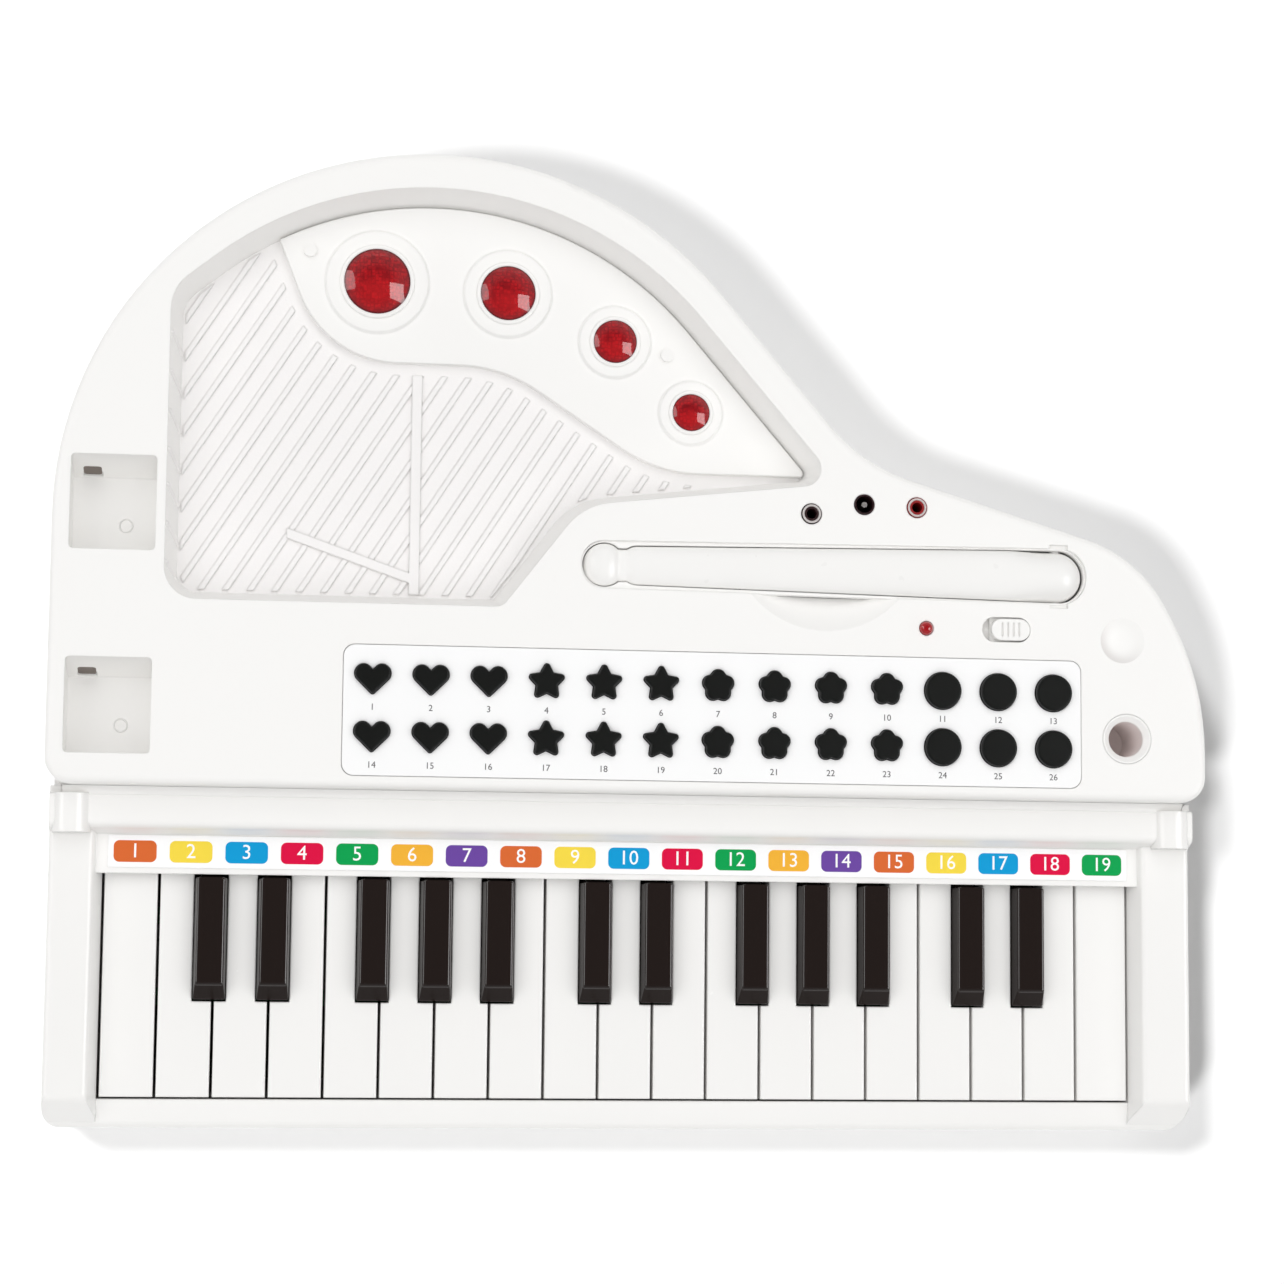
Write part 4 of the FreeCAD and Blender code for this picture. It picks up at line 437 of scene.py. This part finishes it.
red = cells.fade(*FACET_FADE).mix(rgba(180, 16, 26), rgba(132, 6, 17))
red = (patches.fade(*PATCH_FADE) * PATCH_SHARE).mix(red, rgba(112, 4, 15))
red = (painted_glow_low * (1.0 - reach) * PAINTED_GLOW_SHARE).mix(red, rgba(214, 34, 38))
# Painted shade: a dark ring round the rim of each lens
lens_red.feed("Base Color", reach.fade(*PAINTED_RIM_SHADE_FADE).mix(red, rgba(96, 8, 20)))
lens_red.feed("Roughness", cells * 0.2 + 0.25)
lens_red.relief(cells, FACET_DEPTH)
lens_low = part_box("lamp_lenses")[0].z
dome_parts, dome_spots, ring_parts = [], [], []
for x, y, seat in LENSES:
    radius = seat * LENS_SHARE
    # Ring points past zero follow the seat, the others the dome
    ring_grow = np.where(LENS_RING[:, :1] > 0.0, seat, radius) * (1.0, 0.0)
    ring_profile = LENS_RING + ring_grow + (0.0, lens_low + LENS_RIM)
    ring_parts.append(turned(ring_profile, (x, y), LENS_SEGMENTS, ends=False))
    dome = np.column_stack([radius * DOME_SHARE * np.cos(DOME_ANGLES),
                            LENS_RIM + radius * LENS_RISE * np.sin(DOME_ANGLES) ** 2])
    profile = np.concatenate([LENS_EDGE * (radius, LENS_RIM), dome]) + (0.0, lens_low)
    part = turned(profile, (x, y), LENS_SEGMENTS)
    dome_parts.append(part)
    dome_spots.append((part[0] - (x, y, 0.0)) / (radius, radius, 1.0))
domes = surface("lamp_domes", dome_parts, lens_red, "case")
spots = domes.data.attributes.new("spot", "FLOAT_VECTOR", "POINT")
spots.data.foreach_set("vector", np.concatenate(dome_spots).ravel())
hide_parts("lamp_lenses")
surface("lens_rings", ring_parts, lamp_white, "case")

# String ribs that climb the left wall of the well
FOOT_X, FOOT_Z = -159.6 * MM, 47.2 * MM
TOP_X, TOP_Z = -163.1 * MM, 60.8 * MM
LEG_RISE = 6.0 * MM
LEG_RADIUS = 0.75 * MM
LEG_PLACES = np.array([96.5, 82.8, 69.1, 55.8, 43.6, 30.4, 17.2]) * MM
legs = [rod((FOOT_X, y, FOOT_Z), (TOP_X, y + LEG_RISE, TOP_Z), LEG_RADIUS) for y in LEG_PLACES]
surface("string_legs", legs, plate_white, "case")

# Stick with a low crown: egg-shaped sections, wide near the deck and round by the pivot
PROP_Y, PROP_Z = 25.9 * MM, 56.0 * MM
BALL_X, SHAFT_X, PIVOT_X = -13.2 * MM, -1.5 * MM, 148.0 * MM
BALL_RADIUS, NECK_RADIUS, THIN_RADIUS, THICK_RADIUS = 7.4 * MM, 5.6 * MM, 6.7 * MM, 9.1 * MM
PIN_RADIUS, PIN_REACH = 2.0 * MM, 11.6 * MM
WIDE_LEVEL = 0.55
FLAT_UP_TO, ROUND_FROM = 130.0 * MM, 142.0 * MM
STICK_STEPS, STICK_SEGMENTS = 36, 48
END_INSET = 0.004
PAST_BALL, PAST_NECK, ON_SHAFT, BEFORE_PIVOT = 0.3 * MM, 6.0 * MM, 8.0 * MM, 1.0 * MM


def disc(x, centre, radius):
    """Half width of a circle at a place along the stick."""
    return np.sqrt(np.maximum(radius ** 2 - (x - centre) ** 2, 0.0))


def shaft(x, start, stop, first, last):
    """Half width of a straight taper between two places, nothing outside them."""
    share = (x - start) / (stop - start)
    return np.where((share >= 0.0) & (share <= 1.0), first + (last - first) * share, 0.0)


def stick_half(x, grow=0.0):
    """Half width of the stick: ball, neck, round shoulder, tapered shaft and round end."""
    neck, thin, thick = NECK_RADIUS + grow, THIN_RADIUS + grow, THICK_RADIUS + grow
    return np.max([disc(x, BALL_X, BALL_RADIUS + grow), shaft(x, BALL_X, SHAFT_X, neck, neck),
                   disc(x, SHAFT_X, thin), shaft(x, SHAFT_X, PIVOT_X, thin, thick),
                   disc(x, PIVOT_X, thick)], axis=0)


def stations(grow, steps):
    """Places along the stick, close together at both ends."""
    ends = np.linspace(END_INSET, 0.5, steps // 2) * np.pi
    low = BALL_X - BALL_RADIUS - grow
    high = PIVOT_X + THICK_RADIUS + grow
    left = low + (BALL_RADIUS + grow) * (1.0 - np.cos(ends))
    right = high - (THICK_RADIUS + grow) * (1.0 - np.cos(ends))
    neck = np.linspace(BALL_X + PAST_BALL, SHAFT_X + PAST_NECK, steps)
    taper = np.linspace(SHAFT_X + ON_SHAFT, PIVOT_X - BEFORE_PIVOT, steps)
    return np.concatenate([left, neck, taper, right[::-1]])


stick_x = stations(0.0, STICK_STEPS)
half = stick_half(stick_x)[:, None]
turn = np.linspace(0.0, 2.0 * np.pi, STICK_SEGMENTS, endpoint=False)
wide = WIDE_LEVEL * np.clip((ROUND_FROM - stick_x) / (ROUND_FROM - FLAT_UP_TO), 0.0, 1.0)[:, None]
crown = np.where(np.sin(turn) > 0.0, 1.0 - wide, 1.0 + wide) * np.sin(turn)
stick = lofted(np.stack([stick_x[:, None] + 0.0 * turn, PROP_Y + half * np.cos(turn),
                         PROP_Z + half * (wide + crown)], axis=-1))
pins = rod((PIVOT_X, PROP_Y - PIN_REACH, PROP_Z), (PIVOT_X, PROP_Y + PIN_REACH, PROP_Z), PIN_RADIUS)
prop = surface("prop_stick", [stick, pins], stick_white, "lid_prop")
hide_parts("lid_prop")

# Narrow lip along the groove, a little below the deck, that hugs the stick
LIP_GAP, LIP_LOW, LIP_HIGH = 0.3 * MM, 58.0 * MM, 60.7 * MM
GROOVE_THIN, GROOVE_THICK = 8.3 * MM, 10.1 * MM
LIP_END = 0.9999


def groove_half(x):
    """Half width of the groove: a taper between two round ends."""
    return np.max([disc(x, BALL_X, GROOVE_THIN), shaft(x, BALL_X, PIVOT_X, GROOVE_THIN, GROOVE_THICK),
                   disc(x, PIVOT_X, GROOVE_THICK)], axis=0)


def around(x, half_width, height):
    """Level ring: along the front side, then back along the rear."""
    front = np.column_stack([x, PROP_Y - half_width])
    rear = np.column_stack([x, PROP_Y + half_width])
    return level_ring(np.concatenate([front, rear[::-1]]), height)


inner_x = stations(LIP_GAP, STICK_STEPS)
outer_low, outer_high = BALL_X - LIP_END * GROOVE_THIN, PIVOT_X + LIP_END * GROOVE_THICK
outer_x = np.interp(inner_x, inner_x[[0, -1]], [outer_low, outer_high])
inner_half, outer_half = stick_half(inner_x, LIP_GAP), groove_half(outer_x)
lip = lofted(np.stack([around(outer_x, outer_half, LIP_LOW), around(outer_x, outer_half, LIP_HIGH),
                       around(inner_x, inner_half, LIP_HIGH), around(inner_x, inner_half, LIP_LOW)]),
             ends=False)
surface("groove_lip", [lip], case_white, "case")

# Painted shade: dark sheets on the hinge pockets' walls where their slots open; round mould marks in the
# pockets
POCKET_STEP = -69.0 * MM
SLOT_PLACE = np.array([-188.8, 55.3, 48.0]) * MM
SLOT_OUTLINE = rounded_outline(6.2 * MM, 6.8 * MM, 1.2 * MM, segments=4)
SLOT_DEPTH = 0.5 * MM
WALL_LEAN, WALL_HEIGHT = 5.0, 20.0
WALL_UP = np.array([0.0, WALL_LEAN, WALL_HEIGHT]) / np.hypot(WALL_LEAN, WALL_HEIGHT)
WALL_AXES = np.array([(1.0, 0.0, 0.0), WALL_UP, np.cross((1.0, 0.0, 0.0), WALL_UP)])
POCKET_FLOOR = 42.0 * MM
MARK_PLACE = np.array([-177.2, 37.2]) * MM
MARK = np.array([(2.5, 0.0), (2.45, 0.14), (2.2, 0.2), (1.95, 0.14), (1.9, 0.0)]) * MM
slot_shades, marks = [], []
for shift in (0.0, POCKET_STEP):
    level, faces = plate(SLOT_OUTLINE, (0.0, 0.0), -SLOT_DEPTH, PRINT, PRINT / 2)
    slot_shades.append((level @ WALL_AXES + SLOT_PLACE + (0.0, shift, 0.0), faces))
    mark_place = MARK_PLACE + (0.0, shift)
    marks.append(turned(MARK + (0.0, POCKET_FLOOR), mark_place, segments=48, ends=False))
surface("pocket_slot_shades", slot_shades, slot_painted_shade, "case")
surface("pocket_marks", marks, case_white, "case")

# Cove between the bar over the keys and the deck's front wall: a quarter ellipse carried from left to right
COVE_REACH = 196.0 * MM
COVE_STEPS, COVE_ROWS = 12, 9
COVE_FRONT, COVE_REAR = -55.8 * MM, -52.95 * MM
COVE_FOOT, COVE_LOW, COVE_HIGH = 45.6 * MM, 49.2 * MM, 53.5 * MM
sweep = np.linspace(0.5 * np.pi, 0.0, COVE_STEPS)
hollow = np.column_stack([COVE_FRONT + (COVE_REAR - COVE_FRONT) * np.sin(sweep),
                          COVE_HIGH - (COVE_HIGH - COVE_LOW) * np.cos(sweep)])
cove_profile = np.concatenate([[(COVE_FRONT, COVE_FOOT), (COVE_REAR, COVE_FOOT)], hollow])
cove_rings = [np.column_stack([np.full(len(cove_profile), x), cove_profile])
              for x in np.linspace(-COVE_REACH, COVE_REACH, COVE_ROWS)]
surface("deck_cove", [lofted(np.stack(cove_rings))], case_white, "case")

# Black keys with softly rounded, polished edges; an arm ends in an eye round the keys' rod
KEY_TOP = 37.0 * MM
BLACK_LENGTH = 41.4 * MM
BLACK_FRONT_GROW = 0.2 * MM
BLACK_CORNER = 0.7 * MM
BLACK_CREASE = 0.9
BLACK_LEVELS = np.array([
    (-13.0, 5.2, 0.6), (-3.0, 5.55, 0.0), (0.6, 5.55, 0.0), (1.2, 5.4, 0.4), (5.3, 4.9, 4.6),
    (5.9, 4.75, 5.0), (6.25, 4.45, 5.4), (6.4, 4.05, 5.9), (6.4, 3.7, 6.3)]) * MM + (KEY_TOP, 0.0, 0.0)
BLACK_POLISH = np.array([0.0, 0.0, 0.0, 0.0, 0.0, 1.0, 1.0, 0.8, 0.0])
ARM_LEVELS = np.array([
    (-11.0, 3.4, 0.0), (-10.6, 3.7, 0.0), (-4.2, 3.7, 0.0), (-3.8, 3.4, 0.0)]) * MM + (KEY_TOP, 0.0, 0.0)
ROD_Y, ROD_Z = -60.0 * MM, 30.0 * MM
ARM_OVERLAP = 2.0 * MM
ARM_REAR = ROD_Y - 2.2 * MM
EYE = np.array([(3.2, -3.4), (3.2, 3.4), (1.65, 3.4), (1.65, -3.4)]) * MM
eye_points, eye_faces = turned(EYE, (0.0, 0.0), segments=48, ends=False)
eye_across = eye_points[:, [2, 0, 1]]
for name in BLACK_KEYS:
    key_low, key_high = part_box(name)
    middle_x = (key_low.x + key_high.x) / 2
    key_rear = key_low.y + BLACK_LENGTH
    body = stacked(BLACK_LEVELS, middle_x, key_low.y - BLACK_FRONT_GROW, key_rear, BLACK_CORNER)
    arm = stacked(ARM_LEVELS, middle_x, key_rear - ARM_OVERLAP, ARM_REAR, BLACK_CORNER)
    eye = (eye_across + (middle_x, ROD_Y, ROD_Z), eye_faces)
    cap = surface(name.replace("key", "cap"), [body, arm, eye], key_black, name, BLACK_CREASE)
    shine = np.zeros(len(cap.data.vertices))
    ring_points = (len(body[0]) - 2) // len(BLACK_LEVELS)
    shine[:ring_points * len(BLACK_LEVELS)] = np.repeat(BLACK_POLISH, ring_points)
    cap.data.attributes.new("polish", "FLOAT", "POINT").data.foreach_set("value", shine)
    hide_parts(name)

# Coloured chips behind the keys, with plain numbers
strip_low, strip_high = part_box("note_strip")
strip_middle = (strip_low + strip_high) / 2
CHIP_COLOURS = [rgba(218, 106, 52), rgba(246, 218, 74), rgba(14, 156, 214), rgba(222, 14, 68),
                rgba(8, 160, 80), rgba(243, 180, 58), rgba(108, 72, 160)]
CHIP_PITCH = 18.87 * MM
CHIP_OUTLINE = rounded_outline(14.5 * MM, 7.4 * MM, 2.0 * MM)
CHIP_FIGURE = 7.0 * MM
CHIP_WEAR = 0.1
chip_x = strip_middle.x + CHIP_PITCH * (np.arange(len(WHITE_KEYS)) - (len(WHITE_KEYS) - 1) / 2)
chip_finish = moulded("chip_print", PAPER_WHITE, 0.4, Specular_IOR_Level=0.2)
painted = chip_finish.attribute("ink", AS_COLOUR)
worn = chip_finish.place.noise(300.0, detail=3.0)
chip_finish.feed("Base Color", worn.node("ShaderNodeMix", {"data_type": "RGBA", "blend_type": "MULTIPLY"},
                                         {0: worn * CHIP_WEAR, 6: painted, 7: rgba(225, 225, 225)}, 2))
chip_parts = [plate(CHIP_OUTLINE, (x, strip_middle.y), strip_high.z, strip_high.z + PRINT, PRINT / 2)
              for x in chip_x]
chips = surface("note_chips", chip_parts, chip_finish, "case")
ink = chips.data.attributes.new("ink", "FLOAT_COLOR", "POINT")
chip_inks = np.array([CHIP_COLOURS[number % len(CHIP_COLOURS)] for number in range(len(chip_x))])
ink.data.foreach_set("color", np.repeat(chip_inks, len(chip_parts[0][0]), axis=0).ravel())

figure_white = moulded("figure_white", PAPER_WHITE, 0.45)
figure_parts = [figures(str(number), CHIP_FIGURE, (x, strip_middle.y), strip_high.z + 1.5 * PRINT, PRINT)
                for number, x in enumerate(chip_x, 1)]
surface("chip_numbers", figure_parts, figure_white, "case")

# Numbers under the buttons
panel_low, panel_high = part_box("button_panel")
panel_middle = (panel_low + panel_high) / 2
BUTTON_PITCH = 19.84 * MM
BUTTON_ROW_PITCH = 19.7 * MM
BUTTON_ROWS_UP = 1.0 * MM
BUTTON_COLUMNS = 13
BUTTON_FIGURE = 3.1 * MM
LABEL_DROP = 9.9 * MM
figure_grey = moulded("figure_grey", rgba(92, 90, 92), 0.5, Specular_IOR_Level=0.2)
button_figures = []
for row in range(2):
    for column in range(BUTTON_COLUMNS):
        x = panel_middle.x + BUTTON_PITCH * (column - (BUTTON_COLUMNS - 1) / 2)
        y = panel_middle.y + BUTTON_ROWS_UP + BUTTON_ROW_PITCH * (0.5 - row) - LABEL_DROP
        number = row * BUTTON_COLUMNS + column + 1
        button_figures.append(figures(str(number), BUTTON_FIGURE, (x, y), panel_high.z + 0.5 * PRINT, PRINT))
surface("button_numbers", button_figures, figure_grey, "case")

# Bright collars round the two audio sockets
DECK_Z = 62.0 * MM
COLLAR = np.array([(3.35, 0.02), (3.3, 0.5), (3.1, 0.75), (2.75, 0.75), (2.55, 0.5), (2.5, 0.02)]) * MM
collars = [turned(COLLAR + (0.0, DECK_Z), place, ends=False) for place in AUDIO_PLACES]
surface("jack_collars", collars, collar_grey, "case")

# Floor
FLOOR_SPAN = 3.0
floor_finish = Finish("floor", Roughness=0.9, Specular_IOR_Level=0.1)
floor_finish.feed("Base Color", floor_finish.place.noise(3.0).mix(rgba(246, 246, 246), rgba(249, 249, 249)))
floor_mesh = bpy.data.meshes.new("floor")
floor_corners = level_ring(FLOOR_SPAN * np.array([(-1, -1), (1, -1), (1, 1), (-1, 1)]), 0.0)
floor_mesh.from_pydata(floor_corners.tolist(), [], [(0, 1, 2, 3)])
floor_mesh.materials.append(floor_finish.material)
floor = bpy.data.objects.new("floor", floor_mesh)
scene.collection.objects.link(floor)

# Lamps: some light the floor alone, the others everything but the floor
floor_lit = bpy.data.collections.new("floor_lit")
floor_lit.objects.link(floor)
toy_lit = bpy.data.collections.new("toy_lit")
toy_lit.objects.link(floor)
toy_lit.collection_objects[0].light_linking.link_state = "EXCLUDE"


def soft_lamp(name, energy, spread, tilt, lean, receivers):
    """Soft far lamp that lights the pieces of one collection; its angles are in degrees."""
    lamp = bpy.data.lights.new(name, "SUN")
    lamp.energy = energy
    lamp.angle = np.radians(spread)
    holder = bpy.data.objects.new(name, lamp)
    holder.rotation_euler = Euler((np.radians(tilt), np.radians(lean), 0.0))
    holder.visible_glossy = False
    holder.light_linking.receiver_collection = receivers
    scene.collection.objects.link(holder)


FLOOR_SPREAD, FLOOR_LEAN = 8.0, -27.0
TOY_SPREAD, TOY_TILT = 40.0, 37.0
soft_lamp("floor_front_left", 1.6, FLOOR_SPREAD, tilt=17.0, lean=FLOOR_LEAN, receivers=floor_lit)
soft_lamp("floor_rear_left", 1.3, FLOOR_SPREAD, tilt=-16.0, lean=FLOOR_LEAN, receivers=floor_lit)
soft_lamp("toy_left", 0.74, TOY_SPREAD, tilt=0.0, lean=-TOY_TILT, receivers=toy_lit)
soft_lamp("toy_right", 0.63, TOY_SPREAD, tilt=0.0, lean=TOY_TILT, receivers=toy_lit)
soft_lamp("toy_front", 0.63, TOY_SPREAD, tilt=TOY_TILT, lean=0.0, receivers=toy_lit)
soft_lamp("toy_rear", 0.65, TOY_SPREAD, tilt=-TOY_TILT, lean=0.0, receivers=toy_lit)

# World: white to the camera, even light for the toy, a dim room with two windows in reflections
AMBIENT = 0.34
OVERHEAD, HORIZON = 0.1, 0.45
SKY_FADE = (0.5, 0.86)
RIGHT_WINDOW, RIGHT_ACROSS, RIGHT_ALONG = 6.0, (0.5, 0.85), (-0.42, 0.12)
LEFT_WINDOW, LEFT_ACROSS, LEFT_ALONG = 3.0, (-0.95, -0.72), (-0.1, 0.5)
world = bpy.data.worlds.new("studio")
world.use_nodes = True
scene.world = world
backdrop = world.node_tree.nodes["Background"]
sky = Shade(world.node_tree, world.node_tree.nodes.new("ShaderNodeTexCoord").outputs["Generated"])
side, ahead, up = (sky.axis(letter) for letter in "XYZ")
path = sky.node("ShaderNodeLightPath").socket.node.outputs
seen = Shade(world.node_tree, path["Is Camera Ray"]) + Shade(world.node_tree, path["Is Transmission Ray"])
glossy = Shade(world.node_tree, path["Is Glossy Ray"])
mirrored = HORIZON - up.fade(*SKY_FADE) * (HORIZON - OVERHEAD)
mirrored = mirrored + side.within(*RIGHT_ACROSS) * ahead.within(*RIGHT_ALONG) * RIGHT_WINDOW
mirrored = mirrored + side.within(*LEFT_ACROSS) * ahead.within(*LEFT_ALONG) * LEFT_WINDOW
strength = seen + glossy * mirrored + (1.0 - seen) * (1.0 - glossy) * AMBIENT
backdrop.inputs["Color"].default_value = (1.0, 1.0, 1.0, 1.0)
world.node_tree.links.new(strength.socket, backdrop.inputs["Strength"])

# Camera
CAMERA_PLACE = np.array([-140.39, -112.62, 1088.37]) * MM
CAMERA_ANGLES = (-0.10846, 0.13514, -0.0244)
camera_lens = bpy.data.cameras.new("camera")
camera_lens.sensor_width = 36.0
camera_lens.lens = 84.7
camera = bpy.data.objects.new("camera", camera_lens)
camera_turn = Euler(CAMERA_ANGLES).to_matrix().transposed()
camera.matrix_world = Matrix.Translation(CAMERA_PLACE.tolist()) @ camera_turn.to_4x4()
scene.collection.objects.link(camera)
scene.camera = camera
scene.view_settings.view_transform = "Standard"
